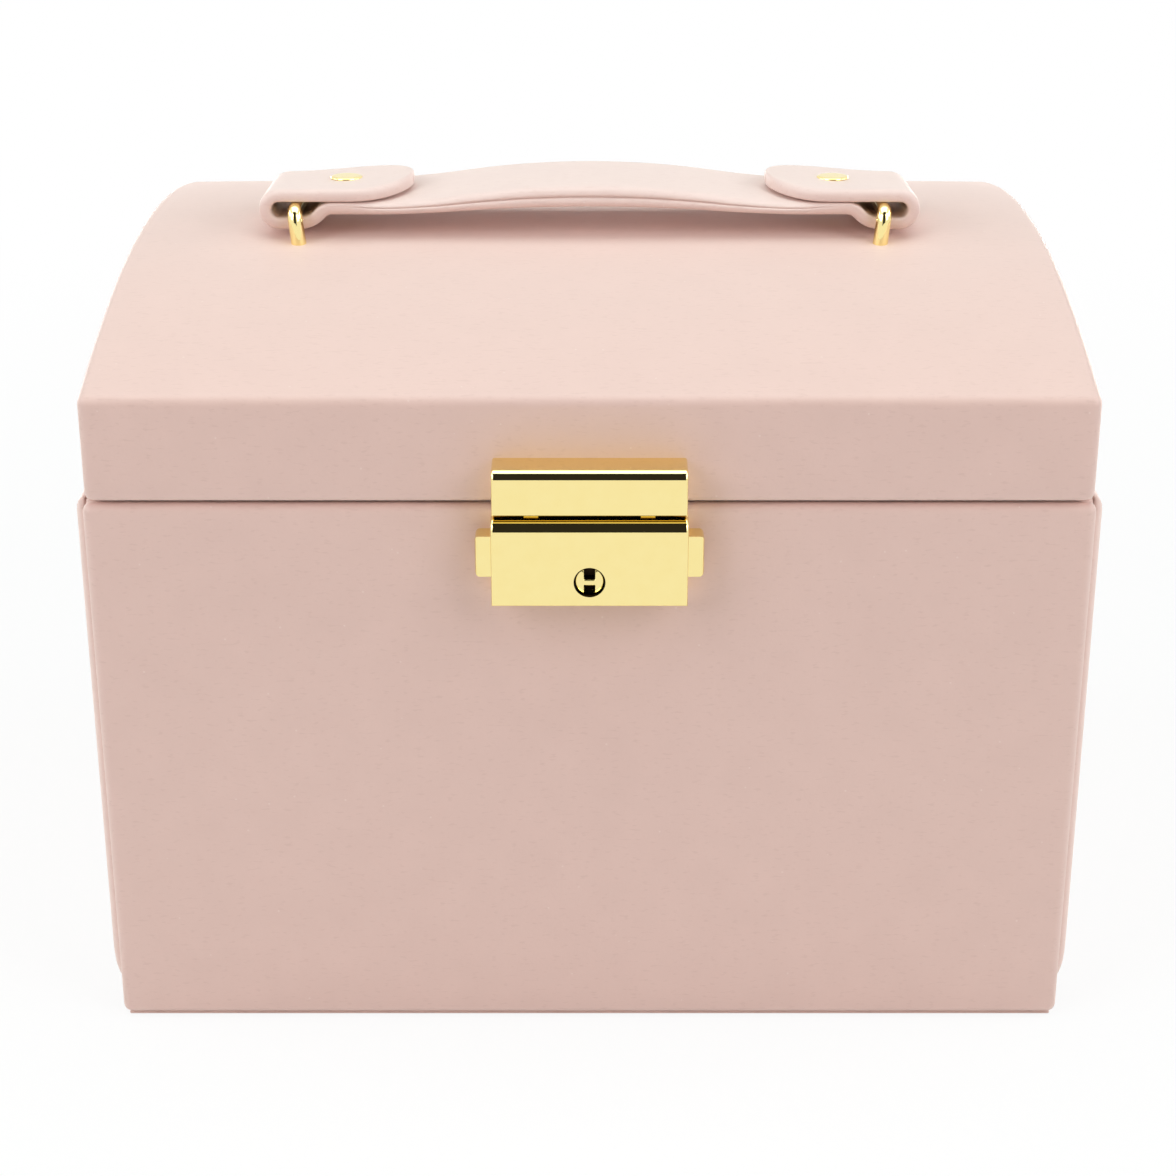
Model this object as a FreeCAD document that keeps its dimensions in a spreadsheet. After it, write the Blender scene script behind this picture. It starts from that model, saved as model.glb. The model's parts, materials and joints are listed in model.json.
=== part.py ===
import FreeCAD, Part
import math
import os
import Sketcher

# Vanity train case: a boxed body of wrapped boards, an arched lid on two butt hinges, a squeeze
# lock, a strap handle, and a tray that link arms lift out of the body as the lid is opened.
# X runs to the right, Y to the back and Z up. The origin is on the floor under the case's middle.
# All sizes are in millimetres and angles in degrees.

driving = (
    ("case_width", 170.0, "front panel, edge to edge"),
    ("case_depth", 142.0, "front face to back face"),
    ("body_height", 100.2, "floor to the top of the body walls"),
    ("board", 3.5, "wrapped board of the body walls"),
    ("lining", 1.0, "velvet covered card inside the body"),
    ("base_thick", 0.6, "base plate under the walls"),
    ("base_inset", 1.0, "base plate inside the faces of the walls"),
    ("edge_round", 1.1, "rounded edge of the front and back panels"),
    ("side_swell", 2.5, "padded side cover beyond the front panel"),
    ("side_setback", 4.0, "padded side cover behind the front face"),
    ("side_corner", 10.0, "lower corners of the side cover"),
    ("cover_round", 2.0, "rounded edge of the side cover"),
    ("cover_gap", 0.3, "side cover above the base plate"),
    ("fit_gap", 0.1, "between pieces that are set side by side"),
    ("liner_drop", 0.4, "lining below the top of the walls"),
    ("overcut", 1.0, "cut carried past a face"),
    ("seam_gap", 0.5, "open seam between body and lid"),
    ("lid_inset", 0.5, "lid end inside the front panel's edge"),
    ("lid_board", 3.0, "wrapped board of the lid"),
    ("lid_band", 18.2, "upright band of the lid"),
    ("lid_rise", 28.7, "rim of the lid to the top of its arch"),
    ("crease_round", 2.0, "bend between band and arch"),
    ("lid_edge", 2.4, "rounded edge round the lid ends"),
    ("lid_open", 100.0, "angle of the open lid"),
    ("panel_height", 8.6, "rim of the lid to the panel that backs the mirror"),
    ("panel_thick", 2.5, "mirror panel"),
    ("mirror_width", 112.0, "mirror across the lid"),
    ("mirror_depth", 92.0, "mirror front to back"),
    ("mirror_thick", 2.0, "mirror glass"),
    ("bezel_width", 4.0, "frame round the mirror"),
    ("bezel_lip", 0.8, "mirror frame beyond the glass"),
    ("bezel_round", 0.7, "rounded edge of the mirror frame"),
    ("panel_play", 1.5, "mirror panel inside the line of the tray ends"),
    ("hinge_distance", 90.0, "one hinge to the other"),
    ("hinge_width", 24.0, "length of a hinge"),
    ("leaf_height", 13.0, "hinge leaf from the pin"),
    ("leaf_thick", 1.0, "hinge leaf"),
    ("knuckle_radius", 1.9, "hinge knuckle"),
    ("knuckle_gap", 0.4, "knuckle to the back face"),
    ("leaf_clear", 0.4, "hinge leaf to the other leaf's knuckle"),
    ("hinge_screw_drop", 8.8, "hinge screws from the pin"),
    ("hinge_screw_distance", 14.0, "one hinge screw to the other"),
    ("hinge_screw_radius", 0.8, "hinge screw"),
    ("hinge_screw_head", 1.6, "head of a hinge screw"),
    ("hinge_head_thick", 0.7, "head of a hinge screw"),
    ("hinge_screw_bite", 2.2, "hinge screw into the board"),
    ("pin_radius", 1.0, "hinge pin"),
    ("run_clear", 0.06, "radial clearance of a turning fit"),
    ("still_clear", 0.02, "radial clearance of a fixed pin or screw"),
    ("end_play", 0.2, "clearance along a turning fit"),
    ("arm_length", 44.0, "tray arm, pivot to pivot"),
    ("arm_drop", 5.0, "tray arm below level at rest"),
    ("arm_radius", 4.0, "half the width of a tray arm"),
    ("arm_thick", 1.2, "tray arm plate"),
    ("arm_distance", 40.0, "front arm pivot to rear arm pivot"),
    ("arm_tilt", 25.0, "rear arm pivot above the front one"),
    ("rear_pivot_reach", 47.8, "rear arm pivot behind the middle"),
    ("pivot_drop", 10.0, "rear arm pivot below the top of the walls"),
    ("pivot_radius", 1.5, "arm pivot journal"),
    ("collar_radius", 2.6, "shoulder of a pivot"),
    ("head_radius", 2.6, "head of a pivot"),
    ("head_thick", 0.8, "head of a pivot"),
    ("crank", 15.0, "lid link from the hinge pin"),
    ("crank_rise", 15.0, "lid link above level at rest"),
    ("crank_margin", 0.5, "crank of the rear arm beyond the link's half width"),
    ("link_radius", 3.0, "half the width of a lid link"),
    ("link_thick", 1.0, "lid link plate"),
    ("link_pin", 1.2, "lid link journal"),
    ("stop_radius", 1.5, "peg that stops the open arm"),
    ("stop_reach", 7.0, "stop peg from the rear arm pivot"),
    ("stop_clear", 0.3, "stop peg to the open arm"),
    ("stop_margin", 3.2, "pivot bracket beyond the stop peg"),
    ("bracket_thick", 1.0, "pivot bracket on the wall"),
    ("bracket_margin", 5.2, "pivot bracket beyond a pivot"),
    ("side_play", 0.4, "between link, arm and bracket"),
    ("tray_play", 0.8, "tray to pivot heads"),
    ("tray_front_gap", 1.5, "tray to the front lining"),
    ("tray_depth", 80.0, "tray front to back"),
    ("tray_height", 34.0, "tray wall height"),
    ("tray_board", 2.0, "tray wall"),
    ("tray_drop", 2.6, "tray below the top of the walls"),
    ("front_bay", 31.6, "front bay of the tray, front to back"),
    ("middle_bay", 50.8, "middle bay of the tray, side to side"),
    ("divider_thick", 1.6, "tray divider"),
    ("divider_drop", 3.0, "tray dividers below the tray's rim"),
    ("lock_width", 32.8, "lock case"),
    ("lock_height", 15.3, "lock case"),
    ("lock_depth", 7.0, "lock case beyond the front panel"),
    ("lock_wall", 1.0, "lock case wall"),
    ("lock_round", 2.4, "rounded upper front edge of the lock case"),
    ("lock_edge", 0.45, "other front edges of the lock case and hasp"),
    ("lock_plate", 0.8, "back plate of the lock case"),
    ("lock_screw_reach", 11.0, "lock screws from the middle"),
    ("lock_screw_height", 2.9, "lock screws above the lock's lower edge"),
    ("boss_radius", 1.9, "boss that takes a lock screw"),
    ("screw_radius", 1.0, "lock and hasp screws"),
    ("screw_head", 2.1, "head of a lock or hasp screw"),
    ("screw_sink", 1.2, "head of a lock or hasp screw"),
    ("screw_bite", 3.0, "lock or hasp screw into the metal"),
    ("hasp_width", 32.4, "hasp on the lid"),
    ("hasp_height", 7.8, "hasp on the lid"),
    ("hasp_depth", 6.8, "hasp beyond the lid"),
    ("hasp_gap", 0.2, "hasp above the lid's rim"),
    ("hasp_round", 1.7, "rounded upper front edge of the hasp"),
    ("hasp_screw_reach", 11.0, "hasp screws from the middle"),
    ("hasp_screw_height", 4.0, "hasp screws above the hasp's lower edge"),
    ("tongue_out", 3.6, "hasp tongue beyond the front panel"),
    ("tongue_root", 0.5, "hasp tongue inside the hasp"),
    ("tongue_distance", 19.4, "one hasp tongue to the other"),
    ("tongue_width", 2.4, "hasp tongue"),
    ("tongue_thick", 1.0, "hasp tongue"),
    ("tongue_length", 7.0, "hasp tongue"),
    ("barb", 0.8, "hook on a hasp tongue"),
    ("barb_low", 1.2, "point of the hook above the tongue's end"),
    ("barb_high", 1.4, "shoulder of the hook above the tongue's end"),
    ("slot_clear", 0.4, "round a tongue in its slot"),
    ("tab_travel", 1.9, "squeeze tab inward"),
    ("tab_proud", 0.8, "pressed squeeze tab beyond the lock case"),
    ("tab_root", 0.2, "thumb piece of a tab inside the lock case wall"),
    ("tab_round", 0.8, "rounded outer edge of a tab"),
    ("tab_top", 3.4, "squeeze tab below the top of the lock case"),
    ("tab_stand", 1.4, "squeeze tab beyond the front panel"),
    ("tab_height", 7.2, "squeeze tab"),
    ("tab_depth", 3.8, "squeeze tab"),
    ("tab_clear", 0.3, "round a squeeze tab in its window"),
    ("slide_height", 4.0, "slide of a squeeze tab"),
    ("slide_thick", 1.2, "slide of a squeeze tab"),
    ("slide_drop", 0.4, "slide below the top of the thumb piece"),
    ("catch_clear", 0.3, "catch to the hook of a tongue"),
    ("catch_width", 1.6, "catch of a squeeze tab"),
    ("catch_depth", 3.0, "catch of a squeeze tab"),
    ("catch_step", 1.4, "catch above the lower edge of the slide"),
    ("coil_radius", 1.15, "spring between the tabs"),
    ("coil_wire", 0.25, "spring wire"),
    ("coil_clear", 0.05, "spring to a tab"),
    ("coil_rise", 0.8, "spring above the middle of the slides"),
    ("coil_out", 1.5, "spring beyond the back of the tabs"),
    ("key_radius", 2.6, "key plug"),
    ("key_sunk", 0.3, "key plug below the lock's face and above its plate"),
    ("flange_out", 0.4, "flange of the key plug"),
    ("flange_thick", 0.9, "flange of the key plug"),
    ("flange_clear", 0.15, "flange behind the lock's face"),
    ("notch_width", 1.9, "key notch in the plug"),
    ("notch_near", 0.75, "key notch from the plug's middle, near edge"),
    ("notch_far", 2.15, "key notch from the plug's middle, far edge"),
    ("notch_depth", 2.4, "key notch in the plug"),
    ("key_drop", 10.9, "key plug below the top of the lock case"),
    ("strap_width", 22.0, "handle strap"),
    ("strap_thick", 2.3, "ends of the handle strap"),
    ("strap_middle", 3.9, "padded middle of the handle strap"),
    ("strap_top", 9.6, "top of the strap above the lid"),
    ("bow_drop", 3.1, "ends of the bow below the top of the strap"),
    ("crown_end", 24.0, "where the bow turns from crown to hollow"),
    ("bow_end", 42.0, "where the bow runs out level"),
    ("dip_start", 47.2, "where the strap starts to dip under a staple"),
    ("dip_end", 53.5, "where the strap is level under a staple"),
    ("strap_reach", 56.9, "middle of the strap's end folds"),
    ("fold_radius", 1.5, "hollow inside an end fold"),
    ("ply_gap", 0.2, "folded end to the strap under it"),
    ("tip_round", 10.1, "corners of the folded end"),
    ("tab_tip", 32.6, "tip of the folded end"),
    ("rivet_reach", 45.0, "strap rivets"),
    ("rivet_radius", 3.0, "cap of a strap rivet"),
    ("rivet_foot", 2.0, "foot of a strap rivet"),
    ("rivet_shank", 1.2, "shank of a strap rivet"),
    ("rivet_cap", 0.7, "cap of a strap rivet"),
    ("rivet_foot_thick", 0.6, "foot of a strap rivet"),
    ("staple_reach", 53.6, "handle staples"),
    ("wire_radius", 1.4, "wire of a staple"),
    ("staple_bend", 1.8, "bend in a staple"),
    ("staple_clear", 0.3, "leg of a staple beside the strap"),
    ("hole_clear", 0.05, "round a staple leg or a rivet in its hole"),
    ("leg_below", 2.6, "staple leg below the lid board"),
    ("ring_radius", 3.2, "ring on a staple leg"),
    ("ring_thick", 1.2, "ring on a staple leg"),
    ("ring_low", 1.0, "ring above the end of the leg"),
)


class Size:
    # A number together with the sheet formula that it comes from.
    def __init__(self, value, text):
        self.value = value
        self.text = text

    def __add__(self, other):
        other = as_size(other)
        return Size(self.value + other.value, f"({self.text} + {other.text})")

    def __sub__(self, other):
        other = as_size(other)
        return Size(self.value - other.value, f"({self.text} - {other.text})")

    def __mul__(self, other):
        other = as_size(other)
        return Size(self.value * other.value, f"({self.text} * {other.text})")

    def __truediv__(self, other):
        other = as_size(other)
        return Size(self.value / other.value, f"({self.text} / {other.text})")

    def __neg__(self):
        return Size(-self.value, f"(0 - {self.text})")

    def __radd__(self, other):
        return as_size(other) + self

    def __rsub__(self, other):
        return as_size(other) - self

    def __rmul__(self, other):
        return as_size(other) * self


def as_size(number):
    if isinstance(number, Size):
        return number
    return Size(float(number), f"({float(number)})")


def root(number):
    return Size(math.sqrt(number.value), f"sqrt({number.text})")


def cosine(angle):
    return Size(math.cos(math.radians(angle.value)), f"cos({angle.text})")


def sine(angle):
    return Size(math.sin(math.radians(angle.value)), f"sin({angle.text})")


doc = FreeCAD.newDocument("train_case")
sheet = doc.addObject("Spreadsheet::Sheet", "sizes")
sheet.set("A1", "size")
sheet.set("B1", "mm or degrees")
sheet.set("C1", "what it sets")
named = {}
for row, (alias, value, meaning) in enumerate(driving, start=2):
    sheet.set(f"A{row}", alias)
    sheet.set(f"B{row}", str(value))
    sheet.setAlias(f"B{row}", alias)
    sheet.set(f"C{row}", meaning)
    named[alias] = Size(value, f"sizes.{alias}")
doc.recompute()

case_width, case_depth, body_height = named["case_width"], named["case_depth"], named["body_height"]
board, lining, run_clear = named["board"], named["lining"], named["run_clear"]
fit_gap, overcut, still_clear = named["fit_gap"], named["overcut"], named["still_clear"]
base_thick, base_inset, edge_round = named["base_thick"], named["base_inset"], named["edge_round"]
lid_board, lid_edge, end_play = named["lid_board"], named["lid_edge"], named["end_play"]
half_width, half_depth = case_width / 2, case_depth / 2
half_lid = half_width - named["lid_inset"]

# Levels and faces that several pieces share.
floor_top = base_thick + board
wall_x = half_width - board
wall_y = half_depth - board
inside_x = wall_x - lining
inside_y = wall_y - lining
rim = body_height
lid_low = rim + named["seam_gap"]
lid_top = lid_low + named["lid_rise"]
lid_inside_x = half_lid - lid_board
lid_inside_y = half_depth - lid_board
crease = lid_low + named["lid_band"]
arch_height = named["lid_rise"] - named["lid_band"]
arch_radius = (half_depth * half_depth + arch_height * arch_height) / (2 * arch_height)
arch_middle = lid_top - arch_radius
inner_arch = arch_radius - lid_board
inner_crease = arch_middle + root(inner_arch * inner_arch - lid_inside_y * lid_inside_y)

# The lid's hinge pin, and the layers of the lifting linkage from the wall inward.
hinge_y = half_depth + named["knuckle_radius"] + named["knuckle_gap"]
hinge_z = rim + named["seam_gap"] / 2
plate_face = inside_x - named["bracket_thick"]
link_out = plate_face - named["side_play"]
link_in = link_out - named["link_thick"]
arm_out = link_in - named["side_play"]
arm_in = arm_out - named["arm_thick"]
head_out = arm_in - end_play
head_in = head_out - named["head_thick"]
tray_x = head_in - named["tray_play"]

# Pivots as points in the Y and Z plane: the arms on the wall and on the tray, the lid links.
rear_pivot = (named["rear_pivot_reach"], rim - named["pivot_drop"])
front_pivot = (rear_pivot[0] - named["arm_distance"] * cosine(named["arm_tilt"]),
               rear_pivot[1] - named["arm_distance"] * sine(named["arm_tilt"]))
arm_back = (-cosine(named["arm_drop"]), -sine(named["arm_drop"]))
crank_back = (-cosine(named["crank_rise"]), sine(named["crank_rise"]))


def along(point, way, distance):
    return (point[0] + way[0] * distance, point[1] + way[1] * distance)


rear_tray_pivot = along(rear_pivot, arm_back, named["arm_length"])
front_tray_pivot = along(front_pivot, arm_back, named["arm_length"])
arm_link_pivot = along(rear_pivot, crank_back, named["crank"])
lid_link_pivot = along((hinge_y, hinge_z), crank_back, named["crank"])

vector = FreeCAD.Vector
sides = (("left", -1), ("right", 1))
finished = []


def keep(label, thing):
    thing.Label = label
    finished.append((label, thing))
    return thing


def side_span(side, near, far):
    # A range of X on one side of the middle, near edge first.
    near, far = as_size(near), as_size(far)
    return (near, far) if side > 0 else (-far, -near)


def both(distance):
    return (-distance, distance)


def box(name, x, y, z):
    solid = doc.addObject("Part::Box", name)
    for edge, axis, (low, high) in (("Length", "x", x), ("Width", "y", y), ("Height", "z", z)):
        low, high = as_size(low), as_size(high)
        solid.setExpression(edge, (high - low).text)
        solid.setExpression("Placement.Base." + axis, low.text)
    return solid


turned = {
    "x": FreeCAD.Rotation(vector(0, 1, 0), 90),
    "y": FreeCAD.Rotation(vector(1, 0, 0), -90),
    "z": FreeCAD.Rotation(),
}


def rod(name, axis, radius, span, first, second):
    # A round bar along an axis; first and second place it on the other two axes, in XYZ order.
    low, high = as_size(span[0]), as_size(span[1])
    solid = doc.addObject("Part::Cylinder", name)
    solid.setExpression("Radius", as_size(radius).text)
    solid.setExpression("Height", (high - low).text)
    solid.Placement = FreeCAD.Placement(vector(0, 0, 0), turned[axis])
    others = [letter for letter in "xyz" if letter != axis]
    solid.setExpression("Placement.Base." + axis, low.text)
    solid.setExpression("Placement.Base." + others[0], as_size(first).text)
    solid.setExpression("Placement.Base." + others[1], as_size(second).text)
    return solid


def join(name, *solids):
    whole = doc.addObject("Part::MultiFuse", name)
    whole.Shapes = list(solids)
    whole.Refine = True
    return whole


def cut(name, stock, *tools):
    rest = doc.addObject("Part::Cut", name)
    rest.Base = stock
    rest.Tool = tools[0] if len(tools) == 1 else join(name + "_tools", *tools)
    rest.Refine = True
    return rest


def group(name, *solids):
    several = doc.addObject("Part::Compound", name)
    several.Links = list(solids)
    return several


def new_sketch(body, plane, offset=0):
    sketch = body.newObject("Sketcher::SketchObject", body.Name + "_sketch")
    support = [item for item in body.Origin.OriginFeatures if item.Role == plane]
    sketch.AttachmentSupport = [(support[0], "")]
    sketch.MapMode = "FlatFace"
    sketch.setExpression("AttachmentOffset.Base.z", as_size(offset).text)
    return sketch


def fix(sketch, kind, *where):
    # A dimension whose size follows the sheet.
    size = as_size(where[-1])
    at = sketch.addConstraint(Sketcher.Constraint(kind, *where[:-1], size.value))
    sketch.setExpression(f"Constraints[{at}]", size.text)


def outline(sketch, corners, arcs=None):
    # A closed outline through the corners. An arc is given by the number of the corner that it
    # leaves, its radius, and +1 when it turns to the left or -1 when it turns to the right.
    arcs = arcs or {}
    corners = [(as_size(x), as_size(y)) for x, y in corners]
    ends = []
    for number, (start, end) in enumerate(zip(corners, corners[1:] + corners[:1])):
        first, last = vector(start[0].value, start[1].value), vector(end[0].value, end[1].value)
        if number not in arcs:
            ends.append((sketch.addGeometry(Part.LineSegment(first, last), False), 1, 2))
            continue
        radius, turn = as_size(arcs[number][0]), arcs[number][1]
        half_chord = (last - first) * 0.5
        rise = math.sqrt(max(radius.value ** 2 - half_chord.Length ** 2, 0.0))
        left = vector(-half_chord.y, half_chord.x).normalize()
        middle = first + half_chord + left * (rise * turn)
        ring = Part.Circle(middle, vector(0, 0, 1), radius.value)
        begin = math.atan2(first.y - middle.y, first.x - middle.x)
        finish = math.atan2(last.y - middle.y, last.x - middle.x)
        if turn > 0:
            curve = sketch.addGeometry(Part.ArcOfCircle(ring, begin, finish), False)
            ends.append((curve, 1, 2))
        else:
            curve = sketch.addGeometry(Part.ArcOfCircle(ring, finish, begin), False)
            ends.append((curve, 2, 1))
        fix(sketch, "Radius", curve, radius)
    for number, (curve, start, end) in enumerate(ends):
        following = ends[(number + 1) % len(ends)]
        sketch.addConstraint(Sketcher.Constraint("Coincident", curve, end, following[0], following[1]))
        fix(sketch, "DistanceX", curve, start, corners[number][0])
        fix(sketch, "DistanceY", curve, start, corners[number][1])


def rectangle(sketch, across, up):
    outline(sketch, ((across[0], up[0]), (across[1], up[0]), (across[1], up[1]), (across[0], up[1])))


def circle(sketch, centre, radius):
    x, y, radius = as_size(centre[0]), as_size(centre[1]), as_size(radius)
    ring = Part.Circle(vector(x.value, y.value), vector(0, 0, 1), radius.value)
    curve = sketch.addGeometry(ring, False)
    fix(sketch, "DistanceX", curve, 3, x)
    fix(sketch, "DistanceY", curve, 3, y)
    fix(sketch, "Radius", curve, radius)


def obround(sketch, start, way, length, radius):
    # A bar with round ends from a start point along a unit direction.
    end = along(start, way, length)
    side = (-way[1], way[0])
    corners = (
        along(start, side, radius), along(start, way, -radius), along(start, side, -radius),
        along(end, side, -radius), along(end, way, radius), along(end, side, radius),
    )
    outline(sketch, corners, {0: (radius, 1), 1: (radius, 1), 3: (radius, 1), 4: (radius, 1)})


def pad(body, sketch, length, back=False, middle=False):
    feature = body.newObject("PartDesign::Pad", body.Name + "_pad")
    feature.Profile = sketch
    feature.setExpression("Length", as_size(length).text)
    feature.Reversed = back
    feature.Midplane = middle
    doc.recompute()
    return feature


def pocket(body, sketch, length=None, back=False, middle=False):
    feature = body.newObject("PartDesign::Pocket", body.Name + "_pocket")
    feature.Profile = sketch
    if length is None:
        feature.Type = "ThroughAll"
    else:
        feature.setExpression("Length", as_size(length).text)
    feature.Reversed = back
    feature.Midplane = middle
    doc.recompute()
    return feature


def round_edges(body, radius, chosen):
    before = body.Tip
    names = [f"Edge{n}" for n, edge in enumerate(before.Shape.Edges, start=1) if chosen(edge)]
    feature = body.newObject("PartDesign::Fillet", body.Name + "_round")
    feature.Base = (before, names)
    feature.setExpression("Radius", as_size(radius).text)
    doc.recompute()
    return feature


def in_plane(axis, place):
    # Picks the edges that lie in a plane across an axis.
    number, place = "xyz".index(axis), as_size(place).value

    def chosen(edge):
        limits = edge.BoundBox
        low = (limits.XMin, limits.YMin, limits.ZMin)[number]
        high = (limits.XMax, limits.YMax, limits.ZMax)[number]
        return abs(low - place) < 1e-3 and abs(high - place) < 1e-3
    return chosen


def new_body(name):
    return doc.addObject("PartDesign::Body", name)


# Body of the case: base plate, floor board and four walls.
keep("base_plate", box("base_plate", both(half_width - base_inset), both(half_depth - base_inset),
                       (0, base_thick)))
keep("floor_board", box("floor_board", both(wall_x), both(wall_y), (base_thick, floor_top)))

lock_top = rim - fit_gap
lock_low = lock_top - named["lock_height"]
lock_screw = (named["lock_screw_reach"], lock_low + named["lock_screw_height"])
screw_radius, screw_head = named["screw_radius"], named["screw_head"]
screw_sink, screw_bite = named["screw_sink"], named["screw_bite"]

front_panel = new_body("front_panel")
sketch = new_sketch(front_panel, "XZ_Plane", wall_y)
rectangle(sketch, both(half_width), (base_thick, rim))
pad(front_panel, sketch, board)
round_edges(front_panel, edge_round, in_plane("y", -half_depth))
for radius, depth in ((screw_radius + fit_gap, board + overcut), (screw_head + fit_gap, screw_sink)):
    sketch = new_sketch(front_panel, "XZ_Plane", wall_y)
    for side in (-1, 1):
        circle(sketch, (side * lock_screw[0], lock_screw[1]), radius)
    pocket(front_panel, sketch, depth, back=True)
keep("front_panel", front_panel)

back_panel = new_body("back_panel")
sketch = new_sketch(back_panel, "XZ_Plane", -wall_y)
rectangle(sketch, both(half_width), (base_thick, rim))
pad(back_panel, sketch, board, back=True)
round_edges(back_panel, edge_round, in_plane("y", half_depth))
keep("back_panel", back_panel)

for word, side in sides:
    keep(word + "_wall", box(word + "_wall", side_span(side, wall_x, half_width), both(wall_y),
                             (base_thick, rim)))

    # The padded cover on the outside of a wall, round at its lower corners.
    cover = new_body(word + "_side_cover")
    reach, corner = half_depth - named["side_setback"], named["side_corner"]
    low, high = base_thick + named["cover_gap"], rim - fit_gap
    sketch = new_sketch(cover, "YZ_Plane", side * half_width)
    outline(sketch, (
        (corner - reach, low), (reach - corner, low), (reach, low + corner),
        (reach, high), (-reach, high), (-reach, low + corner),
    ), {1: (corner, 1), 5: (corner, 1)})
    pad(cover, sketch, named["side_swell"], back=side < 0)
    round_edges(cover, named["cover_round"], in_plane("x", side * (half_width + named["side_swell"])))
    keep(word + "_side_cover", cover)

# Velvet covered card inside the body.
liner_low, liner_top = floor_top + lining, rim - named["liner_drop"]
keep("floor_liner", box("floor_liner", both(wall_x), both(wall_y), (floor_top, liner_low)))
keep("front_liner", box("front_liner", both(wall_x), (-wall_y, -inside_y), (liner_low, liner_top)))
keep("back_liner", box("back_liner", both(wall_x), (inside_y, wall_y), (liner_low, liner_top)))
for word, side in sides:
    keep(word + "_liner", box(word + "_liner", side_span(side, inside_x, wall_x), both(inside_y),
                              (liner_low, liner_top)))

# Brackets on the side walls with the pivots of the tray arms and the peg that stops them.
crank_radius = named["link_radius"] + named["crank_margin"]
half_turn = 180.0
swing_end = half_turn - named["crank_rise"] - named["lid_open"]
stop_way = (cosine(swing_end), sine(swing_end))
stop_side = (sine(swing_end), -cosine(swing_end))
stop_gap = crank_radius + named["stop_radius"] + named["stop_clear"]
stop = along(along(rear_pivot, stop_way, named["stop_reach"]), stop_side, stop_gap)
margin, stop_margin = named["bracket_margin"], named["stop_margin"]
for word, side in sides:
    bracket = new_body(word + "_pivot_bracket")
    sketch = new_sketch(bracket, "YZ_Plane", side * inside_x)
    outline(sketch, (
        (front_pivot[0] - margin, front_pivot[1] - margin),
        (front_pivot[0] + margin, front_pivot[1] - margin),
        (rear_pivot[0] + margin, rear_pivot[1] - margin),
        (stop[0] + stop_margin, stop[1] - stop_margin),
        (stop[0] + stop_margin, stop[1] + stop_margin),
        (rear_pivot[0] - margin, rear_pivot[1] + margin),
        (front_pivot[0] - margin, front_pivot[1] + margin),
    ))
    pad(bracket, sketch, named["bracket_thick"], back=side > 0)
    steps = (
        (named["collar_radius"], plate_face, arm_out + end_play),
        (named["pivot_radius"], arm_out + end_play, head_out),
        (named["head_radius"], head_out, head_in),
    )
    for radius, start, end in steps:
        sketch = new_sketch(bracket, "YZ_Plane", side * start)
        circle(sketch, rear_pivot, radius)
        circle(sketch, front_pivot, radius)
        pad(bracket, sketch, start - end, back=side > 0)
    sketch = new_sketch(bracket, "YZ_Plane", side * plate_face)
    circle(sketch, stop, named["stop_radius"])
    pad(bracket, sketch, plate_face - arm_in, back=side > 0)
    keep(word + "_pivot_bracket", bracket)

# Tray arms. The rear pair carries a pin for the link that comes down from the lid.
for word, side in sides:
    for place, pivot in (("rear", rear_pivot), ("front", front_pivot)):
        arm = new_body(f"{word}_{place}_arm")
        sketch = new_sketch(arm, "YZ_Plane", side * arm_out)
        obround(sketch, pivot, arm_back, named["arm_length"], named["arm_radius"])
        pad(arm, sketch, named["arm_thick"], back=side > 0)
        if place == "rear":
            sketch = new_sketch(arm, "YZ_Plane", side * arm_out)
            obround(sketch, pivot, crank_back, named["crank"], crank_radius)
            pad(arm, sketch, named["arm_thick"], back=side > 0)
        sketch = new_sketch(arm, "YZ_Plane", side * arm_out)
        circle(sketch, pivot, named["pivot_radius"] + run_clear)
        circle(sketch, along(pivot, arm_back, named["arm_length"]), named["pivot_radius"] + run_clear)
        pocket(arm, sketch, middle=True)
        if place == "rear":
            sketch = new_sketch(arm, "YZ_Plane", side * arm_out)
            circle(sketch, arm_link_pivot, named["link_pin"])
            pad(arm, sketch, link_out + end_play - arm_out, back=side < 0)
        keep(f"{word}_{place}_arm", arm)

# Links from the lid to the rear arms. Each lies level with the line from arm pivot to hinge pin.
run = (hinge_y - rear_pivot[0], hinge_z - rear_pivot[1])
link_length = root(run[0] * run[0] + run[1] * run[1])
link_way = (run[0] / link_length, run[1] / link_length)
for word, side in sides:
    link = new_body(word + "_lid_link")
    sketch = new_sketch(link, "YZ_Plane", side * link_out)
    obround(sketch, arm_link_pivot, link_way, link_length, named["link_radius"])
    pad(link, sketch, named["link_thick"], back=side > 0)
    sketch = new_sketch(link, "YZ_Plane", side * link_out)
    circle(sketch, arm_link_pivot, named["link_pin"] + run_clear)
    circle(sketch, lid_link_pivot, named["link_pin"] + run_clear)
    pocket(link, sketch, middle=True)
    keep(word + "_lid_link", link)

# Studs on the lid ends that carry the links.
for word, side in sides:
    stud = new_body(word + "_link_stud")
    steps = (
        (named["collar_radius"], lid_inside_x, link_out + end_play),
        (named["link_pin"], link_out + end_play, link_in - end_play),
        (named["collar_radius"], link_in - end_play, link_in - end_play - named["head_thick"]),
    )
    for radius, start, end in steps:
        sketch = new_sketch(stud, "YZ_Plane", side * start)
        circle(sketch, lid_link_pivot, radius)
        pad(stud, sketch, start - end, back=side > 0)
    keep(word + "_link_stud", stud)

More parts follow.
